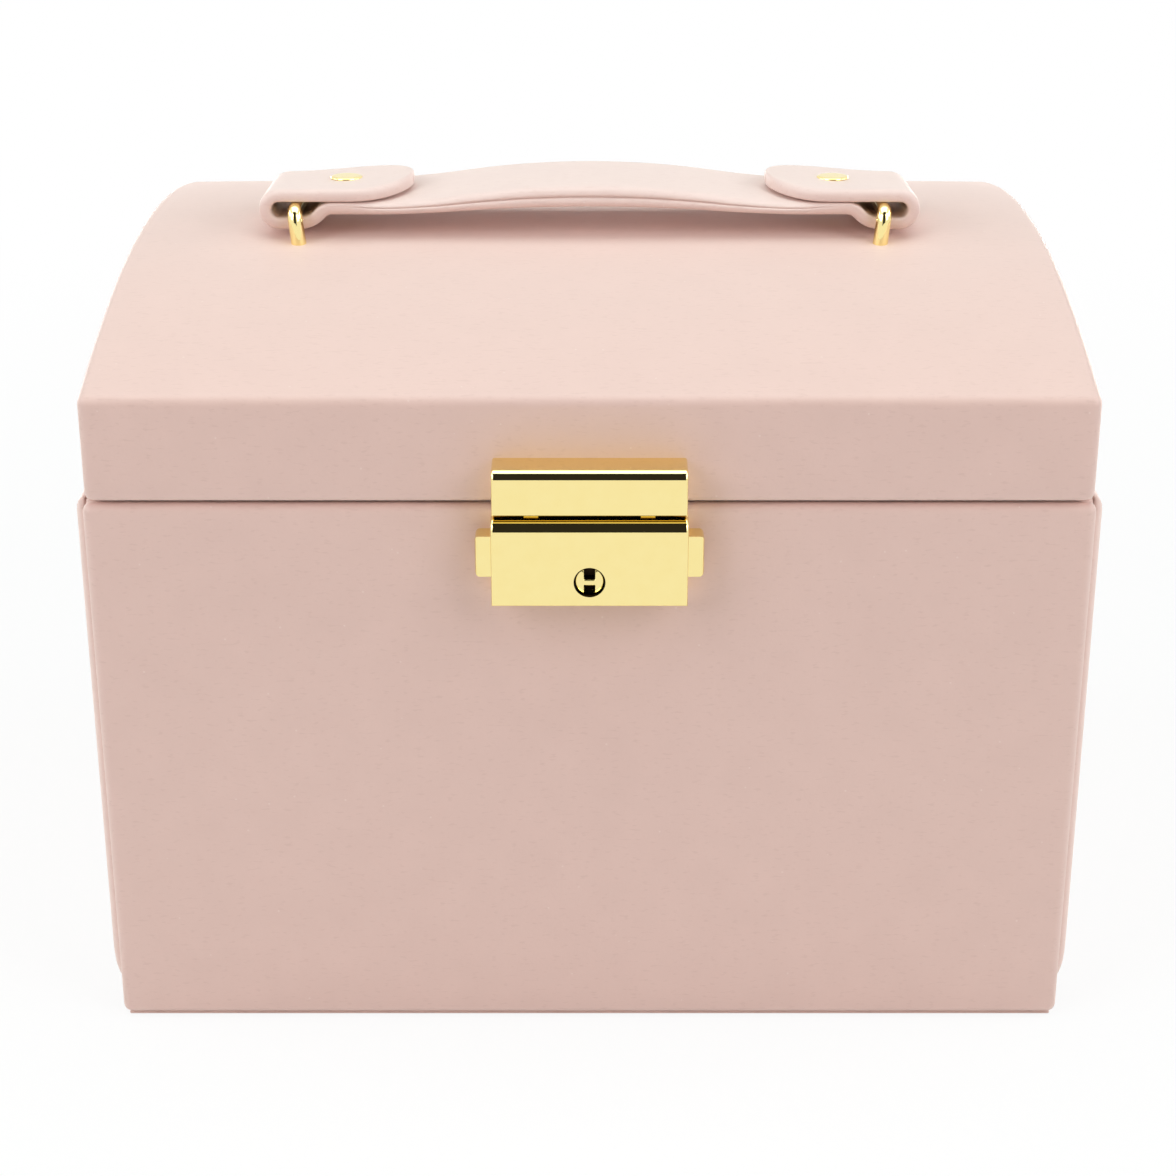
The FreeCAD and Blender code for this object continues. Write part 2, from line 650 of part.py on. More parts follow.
# Tray: a floor, four walls and dividers of thin velvet covered board, with pivots on its ends.
tray_board = named["tray_board"]
tray_front = named["tray_front_gap"] - inside_y
tray_back = tray_front + named["tray_depth"]
tray_top = rim - named["tray_drop"]
tray_low = tray_top - named["tray_height"]
tray_floor = tray_low + tray_board
tray_in = tray_x - tray_board
keep("tray_floor", box("tray_floor", both(tray_x), (tray_front, tray_back), (tray_low, tray_floor)))
keep("tray_front", box("tray_front", both(tray_x), (tray_front, tray_front + tray_board),
                       (tray_floor, tray_top)))
keep("tray_back", box("tray_back", both(tray_x), (tray_back - tray_board, tray_back),
                      (tray_floor, tray_top)))
for word, side in sides:
    keep(f"tray_{word}_end", box(f"tray_{word}_end", side_span(side, tray_in, tray_x),
                                 (tray_front + tray_board, tray_back - tray_board), (tray_floor, tray_top)))
divider_top, divider_thick = tray_top - named["divider_drop"], named["divider_thick"]
long_divider = tray_front + tray_board + named["front_bay"]
bay_front = long_divider + divider_thick
keep("tray_long_divider", box("tray_long_divider", both(tray_in), (long_divider, bay_front),
                              (tray_floor, divider_top)))
half_bay = named["middle_bay"] / 2
cross = [
    box(f"{word}_cross_divider", side_span(side, half_bay, half_bay + divider_thick),
        (bay_front, tray_back - tray_board), (tray_floor, divider_top))
    for word, side in sides
]
keep("tray_cross_dividers", group("tray_cross_dividers", *cross))
studs = []
for word, side in sides:
    for n, pivot in enumerate((front_tray_pivot, rear_tray_pivot)):
        steps = (
            ("shoulder", named["collar_radius"], (tray_x, arm_in - end_play)),
            ("journal", named["pivot_radius"], (arm_in - end_play, arm_out + end_play)),
            ("head", named["head_radius"], (arm_out + end_play, arm_out + end_play + named["head_thick"])),
        )
        name = f"tray_{word}_{n}"
        studs.append(join(name, *[
            rod(f"{name}_{step}", "x", radius, side_span(side, *span), pivot[0], pivot[1])
            for step, radius, span in steps]))
keep("tray_pivots", group("tray_pivots", *studs))

# Lid: one bent board for band, arch and band, closed by two arched end boards.
lid_shell = new_body("lid_shell")
sketch = new_sketch(lid_shell, "YZ_Plane")
outline(sketch, (
    (-half_depth, lid_low), (-lid_inside_y, lid_low), (-lid_inside_y, inner_crease),
    (lid_inside_y, inner_crease), (lid_inside_y, lid_low), (half_depth, lid_low),
    (half_depth, crease), (-half_depth, crease),
), {2: (inner_arch, -1), 6: (arch_radius, 1)})
pad(lid_shell, sketch, 2 * lid_inside_x, middle=True)


def at_crease(edge):
    middle = edge.CenterOfMass
    return (abs(abs(middle.y) - half_depth.value) < 1e-3 and abs(middle.z - crease.value) < 1e-3
            and edge.Length > 2)


round_edges(lid_shell, named["crease_round"], at_crease)

staple_leg = named["strap_width"] / 2 + named["staple_clear"] + named["wire_radius"]
sketch = new_sketch(lid_shell, "XY_Plane", lid_top + overcut)
for x in (-named["staple_reach"], named["staple_reach"]):
    for y in (-staple_leg, staple_leg):
        circle(sketch, (x, y), named["wire_radius"] + named["hole_clear"])
pocket(lid_shell, sketch, lid_board * 3 + overcut)
hasp_low = lid_low + named["hasp_gap"]
hasp_screw = (named["hasp_screw_reach"], hasp_low + named["hasp_screw_height"])
sketch = new_sketch(lid_shell, "XZ_Plane", half_depth)
for side in (-1, 1):
    circle(sketch, (side * hasp_screw[0], hasp_screw[1]), screw_radius + fit_gap)
pocket(lid_shell, sketch, lid_board + overcut)
keep("lid_shell", lid_shell)

for word, side in sides:
    end = new_body(f"lid_{word}_end")
    sketch = new_sketch(end, "YZ_Plane", side * lid_inside_x)
    outline(sketch, (
        (-half_depth, lid_low), (half_depth, lid_low), (half_depth, crease), (-half_depth, crease),
    ), {2: (arch_radius, 1)})
    pad(end, sketch, lid_board, back=side < 0)
    round_edges(end, named["crease_round"], at_crease)
    round_edges(end, lid_edge, lambda edge, face=side * half_lid: (
        in_plane("x", face)(edge) and edge.CenterOfMass.z > lid_low.value + 0.1))
    keep(f"lid_{word}_end", end)

# Panel across the lid with the mirror and its frame.
panel_x = tray_x - named["panel_play"]
panel_low = lid_low + named["panel_height"]
mirror_x, mirror_y = named["mirror_width"] / 2, named["mirror_depth"] / 2
mirror_low = panel_low - named["mirror_thick"]
bezel_lip = named["bezel_lip"]
keep("lid_panel", box("lid_panel", both(panel_x), both(lid_inside_y),
                      (panel_low, panel_low + named["panel_thick"])))
keep("mirror_glass", box("mirror_glass", both(mirror_x), both(mirror_y), (mirror_low, panel_low)))
bezel_x, bezel_y = mirror_x + named["bezel_width"], mirror_y + named["bezel_width"]
bezel = new_body("mirror_frame")
sketch = new_sketch(bezel, "XY_Plane", panel_low)
rectangle(sketch, both(bezel_x), both(bezel_y))
rectangle(sketch, both(mirror_x), both(mirror_y))
pad(bezel, sketch, named["mirror_thick"] + bezel_lip, back=True)
round_edges(bezel, named["bezel_round"], in_plane("z", mirror_low - bezel_lip))
keep("mirror_frame", bezel)

# Two butt hinges. The body's leaf has the outer knuckles and the lid's leaf the middle one.
leaf_thick, knuckle_radius = named["leaf_thick"], named["knuckle_radius"]
knuckle = (named["hinge_width"] - 2 * end_play) / 3
leaf_back = half_depth + leaf_thick
screw_rise = named["hinge_screw_drop"]
shank, half_pair = named["hinge_screw_radius"], named["hinge_screw_distance"] / 2
shank_end = half_depth - named["hinge_screw_bite"]
for owner, up in (("case", -1), ("lid", 1)):
    screws = []
    for word, side in sides:
        middle = side * named["hinge_distance"] / 2
        low, high = middle - named["hinge_width"] / 2, middle + named["hinge_width"] / 2
        if owner == "case":
            spans = ((low, low + knuckle), (high - knuckle, high))
        else:
            spans = ((low + knuckle + end_play, high - knuckle - end_play),)
        name = f"{word}_{owner}_leaf"
        far = hinge_z + up * named["leaf_height"]
        near = hinge_z + up * (knuckle_radius + named["leaf_clear"])
        metal = [box(name + "_plate", (low, high), (half_depth, leaf_back),
                     (far, near) if up < 0 else (near, far))]
        for n, span in enumerate(spans):
            reach = (near, hinge_z) if up < 0 else (hinge_z, near)
            metal.append(box(f"{name}_tab_{n}", span, (half_depth, leaf_back), reach))
            metal.append(rod(f"{name}_knuckle_{n}", "x", knuckle_radius, span, hinge_y, hinge_z))
        bore = named["pin_radius"] + (still_clear if owner == "case" else run_clear)
        holes = [rod(name + "_bore", "x", bore, (low - overcut, high + overcut), hinge_y, hinge_z)]
        for n, shift in enumerate((-half_pair, half_pair)):
            place = (middle + shift, hinge_z + up * screw_rise)
            holes.append(rod(f"{name}_hole_{n}", "y", shank + fit_gap,
                             (half_depth - overcut, leaf_back + overcut), *place))
            screws.append(join(
                f"{name}_screw_{n}",
                rod(f"{name}_shank_{n}", "y", shank, (shank_end, leaf_back), *place),
                rod(f"{name}_head_{n}", "y", named["hinge_screw_head"],
                    (leaf_back, leaf_back + named["hinge_head_thick"]), *place)))
        keep(name, cut(name, join(name + "_metal", *metal), *holes))
    keep(f"{owner}_hinge_screws", group(f"{owner}_hinge_screws", *screws))
pins = []
for word, side in sides:
    middle, reach = side * named["hinge_distance"] / 2, named["hinge_width"] / 2
    pins.append(rod(word + "_hinge_pin", "x", named["pin_radius"], (middle - reach, middle + reach),
                    hinge_y, hinge_z))
keep("hinge_pins", group("hinge_pins", *pins))

# Lock case: a hollow casting on the front panel, slotted for the hasp tongues and the tabs.
lock_x = named["lock_width"] / 2
lock_face = half_depth + named["lock_depth"]
lock_wall = named["lock_wall"]
key_spot = (0, lock_top - named["key_drop"])
tongue_x = named["tongue_distance"] / 2
tongue_half = named["tongue_width"] / 2
tongue_y = half_depth + named["tongue_out"]
tab_high = lock_top - named["tab_top"]
tab_low = tab_high - named["tab_height"]
tab_back = half_depth + named["tab_stand"]
tab_front = tab_back + named["tab_depth"]
tab_end = lock_x + named["tab_travel"] + named["tab_proud"]

lock = new_body("lock_case")
sketch = new_sketch(lock, "XZ_Plane", half_depth)
rectangle(sketch, both(lock_x), (lock_low, lock_top))
pad(lock, sketch, named["lock_depth"])


def upper_front(face, top):
    def chosen(edge):
        middle = edge.CenterOfMass
        return abs(middle.y + face.value) < 1e-3 and abs(middle.z - top.value) < 1e-3
    return chosen


round_edges(lock, named["lock_round"], upper_front(lock_face, lock_top))
round_edges(lock, named["lock_edge"], in_plane("y", -lock_face))
sketch = new_sketch(lock, "XZ_Plane", half_depth)
rectangle(sketch, both(lock_x - lock_wall), (lock_low + lock_wall, lock_top - lock_wall))
pocket(lock, sketch, named["lock_depth"] - lock_wall, back=True)
slot_clear = named["slot_clear"]
sketch = new_sketch(lock, "XY_Plane", lock_top)
for side in (-1, 1):
    across = side_span(side, tongue_x - tongue_half - named["barb"] - slot_clear,
                       tongue_x + tongue_half + slot_clear)
    rectangle(sketch, across, (-tongue_y - named["tongue_thick"] / 2 - slot_clear,
                               -tongue_y + named["tongue_thick"] / 2 + slot_clear))
pocket(lock, sketch, lock_wall + slot_clear)
tab_clear = named["tab_clear"]
sketch = new_sketch(lock, "YZ_Plane")
rectangle(sketch, (-tab_front - tab_clear, -tab_back + tab_clear),
          (tab_low - tab_clear, tab_high + tab_clear))
pocket(lock, sketch, middle=True)
sketch = new_sketch(lock, "XZ_Plane", half_depth)
circle(sketch, key_spot, named["key_radius"] + run_clear)
pocket(lock, sketch, named["lock_depth"] + overcut, back=True)
boss_start = half_depth + named["lock_plate"]
for radius, hollow in ((named["boss_radius"], False), (screw_radius + still_clear, True)):
    sketch = new_sketch(lock, "XZ_Plane", boss_start)
    for side in (-1, 1):
        circle(sketch, (side * lock_screw[0], lock_screw[1]), radius)
    if hollow:
        pocket(lock, sketch, screw_bite + overcut, back=True)
    else:
        pad(lock, sketch, lock_face - lock_wall - boss_start)
keep("lock_case", lock)

plate = cut("lock_back_plate", box(
    "lock_plate_blank", both(lock_x - lock_wall - fit_gap), (-boss_start, -half_depth),
    (lock_low + lock_wall + fit_gap, lock_top - lock_wall - fit_gap)), *[
    rod(f"lock_plate_hole_{n}", "y", screw_radius + fit_gap, (-boss_start - overcut, -half_depth + overcut),
        side * lock_screw[0], lock_screw[1]) for n, side in enumerate((-1, 1))])
keep("lock_back_plate", plate)
keep("lock_screws", group("lock_screws", *[
    join(f"lock_screw_{n}",
         rod(f"lock_shank_{n}", "y", screw_radius, (-boss_start - screw_bite, -screw_sink - wall_y),
             side * lock_screw[0], lock_screw[1]),
         rod(f"lock_head_{n}", "y", screw_head, (-screw_sink - wall_y, -wall_y - fit_gap),
             side * lock_screw[0], lock_screw[1]))
    for n, side in enumerate((-1, 1))]))

# Key plug: a round plug with two notches for a forked key and a flange behind the lock's face.
plug = new_body("key_plug")
plug_face, plug_back = lock_face - named["key_sunk"], boss_start + named["key_sunk"]
sketch = new_sketch(plug, "XZ_Plane", plug_back)
circle(sketch, key_spot, named["key_radius"])
pad(plug, sketch, plug_face - plug_back)
flange_thick = named["flange_thick"]
sketch = new_sketch(plug, "XZ_Plane", lock_face - lock_wall - named["flange_clear"] - flange_thick)
circle(sketch, key_spot, named["key_radius"] + named["flange_out"])
pad(plug, sketch, flange_thick)
sketch = new_sketch(plug, "XZ_Plane", plug_face)
for up in (-1, 1):
    notch = (key_spot[1] + up * named["notch_near"], key_spot[1] + up * named["notch_far"])
    rectangle(sketch, both(named["notch_width"] / 2), notch if up > 0 else (notch[1], notch[0]))
pocket(plug, sketch, named["notch_depth"])
keep("key_plug", plug)

# Squeeze tabs. Each has a thumb piece, a slide behind the tongue, and a catch beside the hook.
slide_end = tongue_x - tongue_half - named["barb"] - named["catch_clear"]
slide_high = tab_high - named["slide_drop"]
slide_low = slide_high - named["slide_height"]
catch_in = slide_end - named["catch_width"]
for word, side in sides:
    tab = new_body(word + "_tab")
    sketch = new_sketch(tab, "XZ_Plane", tab_back)
    rectangle(sketch, side_span(side, lock_x - lock_wall - named["tab_root"], tab_end), (tab_low, tab_high))
    pad(tab, sketch, named["tab_depth"])
    round_edges(tab, named["tab_round"], in_plane("x", side * tab_end))
    sketch = new_sketch(tab, "XZ_Plane", tab_back)
    rectangle(sketch, side_span(side, catch_in, lock_x - lock_wall), (slide_low, slide_high))
    pad(tab, sketch, named["slide_thick"])
    sketch = new_sketch(tab, "XZ_Plane", tab_back)
    rectangle(sketch, side_span(side, catch_in, slide_end), (slide_low + named["catch_step"], slide_high))
    pad(tab, sketch, named["catch_depth"])
    keep(word + "_tab", tab)

# The coil that pushes both tabs out.
coil_z = (slide_low + slide_high) / 2 + named["coil_rise"]
coil_wire, coil_turns = named["coil_wire"], 6
coil_half = catch_in - coil_wire - named["coil_clear"]
coil_path = doc.addObject("Part::Helix", "coil_path")
coil_path.setExpression("Pitch", (coil_half * 2 / coil_turns).text)
coil_path.setExpression("Height", (coil_half * 2).text)
coil_path.setExpression("Radius", named["coil_radius"].text)
coil_path.Placement = FreeCAD.Placement(vector(0, 0, 0), turned["x"])
coil_y = -(tab_back + named["coil_out"])
for axis, place in (("x", -coil_half), ("y", coil_y), ("z", coil_z)):
    coil_path.setExpression("Placement.Base." + axis, as_size(place).text)
coil_end = doc.addObject("Part::Circle", "coil_end")
coil_end.setExpression("Radius", coil_wire.text)
coil_end.Placement = FreeCAD.Placement(vector(0, 0, 0), FreeCAD.Rotation(vector(1, 0, 0), 0))
doc.recompute()
start = coil_path.Shape.Edges[0]
first = start.valueAt(start.FirstParameter)
heading = start.tangentAt(start.FirstParameter)
coil_end.Placement = FreeCAD.Placement(first, FreeCAD.Rotation(vector(0, 0, 1), heading))
coil = doc.addObject("Part::Sweep", "tab_spring")
coil.Sections = [coil_end]
coil.Spine = (coil_path, [f"Edge{n}" for n in range(1, len(coil_path.Shape.Edges) + 1)])
coil.Solid = True
coil.Frenet = True
keep("tab_spring", coil)

# Hasp on the lid's front band with two hooked tongues, held by screws from inside.
hasp_x = named["hasp_width"] / 2
hasp_top = hasp_low + named["hasp_height"]
hasp_face = half_depth + named["hasp_depth"]
hasp = new_body("hasp")
sketch = new_sketch(hasp, "XZ_Plane", half_depth)
rectangle(sketch, both(hasp_x), (hasp_low, hasp_top))
pad(hasp, sketch, named["hasp_depth"])
round_edges(hasp, named["hasp_round"], upper_front(hasp_face, hasp_top))
round_edges(hasp, named["lock_edge"], in_plane("y", -hasp_face))
sketch = new_sketch(hasp, "XZ_Plane", tongue_y - named["tongue_thick"] / 2)
for side in (-1, 1):
    inner, outer = side * (tongue_x - tongue_half), side * (tongue_x + tongue_half)
    hook = side * (tongue_x - tongue_half - named["barb"])
    end = hasp_low - named["tongue_length"]
    tongue_top = hasp_low + named["tongue_root"]
    outline(sketch, ((inner, tongue_top), (inner, end + named["barb_high"]), (hook, end + named["barb_low"]),
                     (inner, end), (outer, end), (outer, tongue_top)))
pad(hasp, sketch, named["tongue_thick"])
sketch = new_sketch(hasp, "XZ_Plane", half_depth)
for side in (-1, 1):
    circle(sketch, (side * hasp_screw[0], hasp_screw[1]), screw_radius + still_clear)
pocket(hasp, sketch, screw_bite + overcut, back=True)
keep("hasp", hasp)
keep("hasp_screws", group("hasp_screws", *[
    join(f"hasp_screw_{n}",
         rod(f"hasp_shank_{n}", "y", screw_radius, (-half_depth - screw_bite, -lid_inside_y),
             side * hasp_screw[0], hasp_screw[1]),
         rod(f"hasp_head_{n}", "y", screw_head, (-lid_inside_y, screw_sink - lid_inside_y),
             side * hasp_screw[0], hasp_screw[1]))
    for n, side in enumerate((-1, 1))]))

# Handle: a strap with a padded bow, whose ends dip under the staples, fold over them and are riveted
# back on to the strap.
strap_thick, reach, fold_radius = named["strap_thick"], named["strap_reach"], named["fold_radius"]
crown_end, bow_end, tip = named["crown_end"], named["bow_end"], named["tab_tip"]
dip_start, dip_end = named["dip_start"], named["dip_end"]
strap_top = lid_top + named["strap_top"]
level = strap_top - named["bow_drop"]
tab_under = level + named["ply_gap"]
tab_over = tab_under + strap_thick
hollow_mid = tab_under - fold_radius
hollow_low = hollow_mid - fold_radius
fold_out = fold_radius + strap_thick
under_end = hollow_low - strap_thick


def swerve(across, drop):
    # Sine and cosine of the steepest slope of two arcs that lead from one level to a lower one.
    whole = across * across + drop * drop
    return 2 * across * drop / whole, (across * across - drop * drop) / whole


def bow(drop):
    # Radii of the crown and of the hollow beside it, and the fall from the top to where they meet.
    slope, flat = swerve(bow_end, drop)
    crown = crown_end / slope
    return crown, (bow_end - crown_end) / slope, crown * (1 - flat)


def tip_height(radius):
    return level + hollow - root(radius * radius - (bow_end - tip) * (bow_end - tip))


crown, hollow, crown_fall = bow(named["bow_drop"])
under_level, under_top = level - strap_thick, strap_top - named["strap_middle"]
under_crown, under_hollow, under_fall = bow(under_top - under_level)
dip_slope, dip_flat = swerve(dip_end - dip_start, level - hollow_low)
dip_round = (dip_end - dip_start) / (2 * dip_slope)
dip_mid = ((dip_start + dip_end) / 2, (level + hollow_low) / 2)
dip_mid_under = (dip_mid[0] - strap_thick * dip_slope, dip_mid[1] - strap_thick * dip_flat)
tab_under_round = hollow - named["ply_gap"]
tab_over_round = tab_under_round - strap_thick

# The right half of the outline, each point with the arc that leaves it: first from the tip over the
# fold to the underside of the crown, then from the top of the crown into the fold and to the tip.
outer = (
    ((tip, tip_height(tab_over_round)), (tab_over_round, 1)), ((bow_end, tab_over), None),
    ((reach, tab_over), (fold_out, -1)), ((reach + fold_out, hollow_mid), (fold_out, -1)),
    ((reach, under_end), None), ((dip_end, under_end), (dip_round + strap_thick, -1)),
    (dip_mid_under, (dip_round - strap_thick, 1)), ((dip_start, under_level), None),
    ((bow_end, under_level), (under_hollow, -1)), ((crown_end, under_top - under_fall), (under_crown, 1)),
)
inner = (
    ((crown_end, strap_top - crown_fall), (hollow, 1)), ((bow_end, level), None),
    ((dip_start, level), (dip_round, -1)), (dip_mid, (dip_round, 1)), ((dip_end, hollow_low), None),
    ((reach, hollow_low), (fold_radius, 1)), ((reach + fold_radius, hollow_mid), (fold_radius, 1)),
    ((reach, tab_under), None), ((bow_end, tab_under), (tab_under_round, -1)),
    ((tip, tip_height(tab_under_round)), None),
)


def mirrored(half, last):
    # The same points on the left in the opposite order, with the arc that leaves the last of them.
    points = [(-x, z) for (x, z), arc in half[::-1]]
    return list(zip(points, [arc for point, arc in half[-2::-1]] + [last]))


steps = list(outer) + mirrored(outer, None) + mirrored(inner, (crown, -1)) + list(inner)
strap = new_body("handle_strap")
sketch = new_sketch(strap, "XZ_Plane")
outline(sketch, [point for point, arc in steps], {n: arc for n, (point, arc) in enumerate(steps) if arc})
pad(strap, sketch, named["strap_width"], middle=True)


def at_tip(edge):
    middle, strap_edge = edge.CenterOfMass, named["strap_width"].value / 2
    return (abs(abs(middle.x) - tip.value) < 1e-3 and abs(abs(middle.y) - strap_edge) < 1e-3
            and edge.Length < strap_thick.value * 1.5)


round_edges(strap, named["tip_round"], at_tip)
rivet_x, rivet_shank = named["rivet_reach"], named["rivet_shank"]
sketch = new_sketch(strap, "XY_Plane", strap_top + strap_thick + overcut)
for side in (-1, 1):
    circle(sketch, (side * rivet_x, 0), rivet_shank + named["hole_clear"])
pocket(strap, sketch)
keep("handle_strap", strap)

cap_low, foot_high = tab_over, under_level
cap_high, foot_low = cap_low + named["rivet_cap"], foot_high - named["rivet_foot_thick"]
rivets = []
for n, side in enumerate((-1, 1)):
    rivets.append(join(
        f"rivet_{n}",
        rod(f"rivet_shank_{n}", "z", rivet_shank, (foot_low, cap_high), side * rivet_x, 0),
        rod(f"rivet_cap_{n}", "z", named["rivet_radius"], (cap_low, cap_high), side * rivet_x, 0),
        rod(f"rivet_foot_{n}", "z", named["rivet_foot"], (foot_low, foot_high), side * rivet_x, 0)))
keep("handle_rivets", group("handle_rivets", *rivets))

# Staples: a bent wire each, down through the lid, with a ring pushed on each leg inside.
bar_z = hollow_mid
leg_out = inner_arch
leg_end = arch_middle + root(leg_out * leg_out - staple_leg * staple_leg) - named["leg_below"]
bend = named["staple_bend"]
for word, side in sides:
    staple = new_body(word + "_staple")
    path = new_sketch(staple, "YZ_Plane", side * named["staple_reach"])
    turns = (
        ((-staple_leg, leg_end), (-staple_leg, bar_z - bend)),
        ((bend - staple_leg, bar_z), (staple_leg - bend, bar_z)),
        ((staple_leg, bar_z - bend), (staple_leg, leg_end)),
    )
    lines = []
    for first, last in turns:
        points = [vector(as_size(p[0]).value, as_size(p[1]).value) for p in (first, last)]
        line = path.addGeometry(Part.LineSegment(*points), False)
        for place, point in ((1, first), (2, last)):
            fix(path, "DistanceX", line, place, point[0])
            fix(path, "DistanceY", line, place, point[1])
        lines.append(line)
    for n, turn in enumerate((-1, 1)):
        middle = vector(turn * (staple_leg - bend).value, (bar_z - bend).value)
        ring = Part.Circle(middle, vector(0, 0, 1), bend.value)
        begin = math.pi / 2 if turn < 0 else 0.0
        arc = path.addGeometry(Part.ArcOfCircle(ring, begin, begin + math.pi / 2), False)
        low_end, high_end = ((2, 1) if turn < 0 else (1, 2))
        outer, outer_end = (lines[0], 2) if turn < 0 else (lines[2], 1)
        bar_end = 1 if turn < 0 else 2
        path.addConstraint(Sketcher.Constraint("Coincident", arc, low_end, outer, outer_end))
        path.addConstraint(Sketcher.Constraint("Coincident", arc, high_end, lines[1], bar_end))
        fix(path, "Radius", arc, bend)
    wire = new_sketch(staple, "XY_Plane", leg_end)
    circle(wire, (side * named["staple_reach"], -staple_leg), named["wire_radius"])
    doc.recompute()
    pipe = staple.newObject("PartDesign::AdditivePipe", word + "_staple_wire")
    pipe.Profile = wire
    pipe.Spine = (path, [])
    doc.recompute()
    keep(word + "_staple", staple)
ring_span = (leg_end + named["ring_low"], leg_end + named["ring_low"] + named["ring_thick"])
rings = []
for word, side in sides:
    for n, y in enumerate((-staple_leg, staple_leg)):
        name, x = f"{word}_ring_{n}", side * named["staple_reach"]
        rings.append(cut(
            name, rod(name + "_blank", "z", named["ring_radius"], ring_span, x, y),
            rod(name + "_bore", "z", named["wire_radius"] + still_clear,
                (ring_span[0] - overcut, ring_span[1] + overcut), x, y)))
keep("staple_rings", group("staple_rings", *rings))

doc.recompute()
os.makedirs("parts", exist_ok=True)
faulty = [item.Name for item in doc.Objects if "Invalid" in item.State or "Error" in item.State]
for label, thing in finished:
    shape = thing.Shape
    if not shape.Solids or not shape.isValid() or not all(part.isClosed() for part in shape.Solids):
        faulty.append(label)
    shape.exportStep(f"parts/{label}.step")
if faulty:
    raise SystemExit("these pieces did not build: " + ", ".join(faulty))
whole = Part.makeCompound([thing.Shape for label, thing in finished]).BoundBox
print(f"{len(finished)} pieces, {whole.XLength:.1f} x {whole.YLength:.1f} x {whole.ZLength:.1f} mm")
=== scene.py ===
import json
import math
import bmesh
import bpy
from mathutils import Matrix, Vector

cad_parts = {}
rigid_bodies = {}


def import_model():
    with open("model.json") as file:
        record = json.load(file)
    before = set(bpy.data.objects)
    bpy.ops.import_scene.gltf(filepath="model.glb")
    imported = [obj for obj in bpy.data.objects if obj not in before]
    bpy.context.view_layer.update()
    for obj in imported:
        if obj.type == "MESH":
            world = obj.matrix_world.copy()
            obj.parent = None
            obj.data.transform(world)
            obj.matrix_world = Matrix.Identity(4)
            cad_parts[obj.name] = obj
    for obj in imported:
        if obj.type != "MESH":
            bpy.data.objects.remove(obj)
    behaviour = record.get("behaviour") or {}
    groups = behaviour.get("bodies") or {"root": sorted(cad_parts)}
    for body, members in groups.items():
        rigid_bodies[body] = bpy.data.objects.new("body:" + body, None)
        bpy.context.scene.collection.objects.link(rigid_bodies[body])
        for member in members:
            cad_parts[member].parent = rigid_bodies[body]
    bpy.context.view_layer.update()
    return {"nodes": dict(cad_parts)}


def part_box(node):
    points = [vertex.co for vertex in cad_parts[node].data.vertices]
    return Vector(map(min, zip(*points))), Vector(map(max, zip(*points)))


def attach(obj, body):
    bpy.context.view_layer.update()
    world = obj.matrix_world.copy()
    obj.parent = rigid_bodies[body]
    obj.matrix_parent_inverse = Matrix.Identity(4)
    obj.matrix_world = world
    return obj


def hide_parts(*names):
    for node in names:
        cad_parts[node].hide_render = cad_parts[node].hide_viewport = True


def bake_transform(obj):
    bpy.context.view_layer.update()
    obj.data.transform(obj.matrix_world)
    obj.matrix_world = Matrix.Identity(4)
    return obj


for leftover in list(bpy.data.objects):
    bpy.data.objects.remove(leftover)
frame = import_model()
mm = 0.001


# materials

def linear(hexColour):
    channels = [int(hexColour[i:i + 2], 16) / 255 for i in (1, 3, 5)]
    return [c / 12.92 if c <= 0.04045 else ((c + 0.055) / 1.055) ** 2.4 for c in channels] + [1.0]


def addNode(tree, kind, settings=None, links=None):
    made = tree.nodes.new(kind)
    for key, value in (settings or {}).items():
        if isinstance(key, str) and hasattr(made, key):
            setattr(made, key, value)
        else:
            made.inputs[key].default_value = value
    for key, source in (links or {}).items():
        tree.links.new(source, made.inputs[key])
    return made


def newMaterial(name):
    material = bpy.data.materials.new(name)
    material.use_nodes = True
    tree = material.node_tree
    tree.nodes.clear()
    place = addNode(tree, "ShaderNodeTexCoord").outputs["Object"]  # metres, same frame as the CAD
    shader = addNode(tree, "ShaderNodeBsdfPrincipled")
    addNode(tree, "ShaderNodeOutputMaterial", links={"Surface": shader.outputs["BSDF"]})
    return material, tree, place, shader


def ramp(tree, source, stops):
    made = addNode(tree, "ShaderNodeValToRGB", links={"Fac": source})
    for spot, (position, hexColour) in zip(made.color_ramp.elements, stops):
        spot.position = position
        spot.color = linear(hexColour)
    return made.outputs["Color"]


def noise(tree, place, sizeMm, detail, **settings):
    settings.update({"Scale": 1 / (sizeMm * mm), "Detail": detail})
    return addNode(tree, "ShaderNodeTexNoise", settings, {"Vector": place}).outputs["Fac"]


def mapRange(tree, source, fromMin, fromMax, toMin, toMax, kind="LINEAR"):
    settings = {"interpolation_type": kind, "From Min": fromMin, "From Max": fromMax,
                "To Min": toMin, "To Max": toMax}
    return addNode(tree, "ShaderNodeMapRange", settings, {"Value": source}).outputs["Result"]


def multiplyAdd(tree, source, factor, added):
    made = addNode(tree, "ShaderNodeMath", {"operation": "MULTIPLY_ADD", 1: factor}, {0: source, 2: added})
    return made.outputs[0]


def mathPair(tree, operation, first, second):
    return addNode(tree, "ShaderNodeMath", {"operation": operation}, {0: first, 1: second}).outputs[0]


def mixColour(tree, share, under, over):
    made = addNode(tree, "ShaderNodeMix", {"data_type": "RGBA", 7: linear(over)}, {"Factor": share, 6: under})
    return made.outputs[2]


def bumpFrom(tree, shader, height, strength, distance):
    bump = addNode(tree, "ShaderNodeBump", {"Strength": strength, "Distance": distance}, {"Height": height})
    tree.links.new(bump.outputs["Normal"], shader.inputs["Normal"])


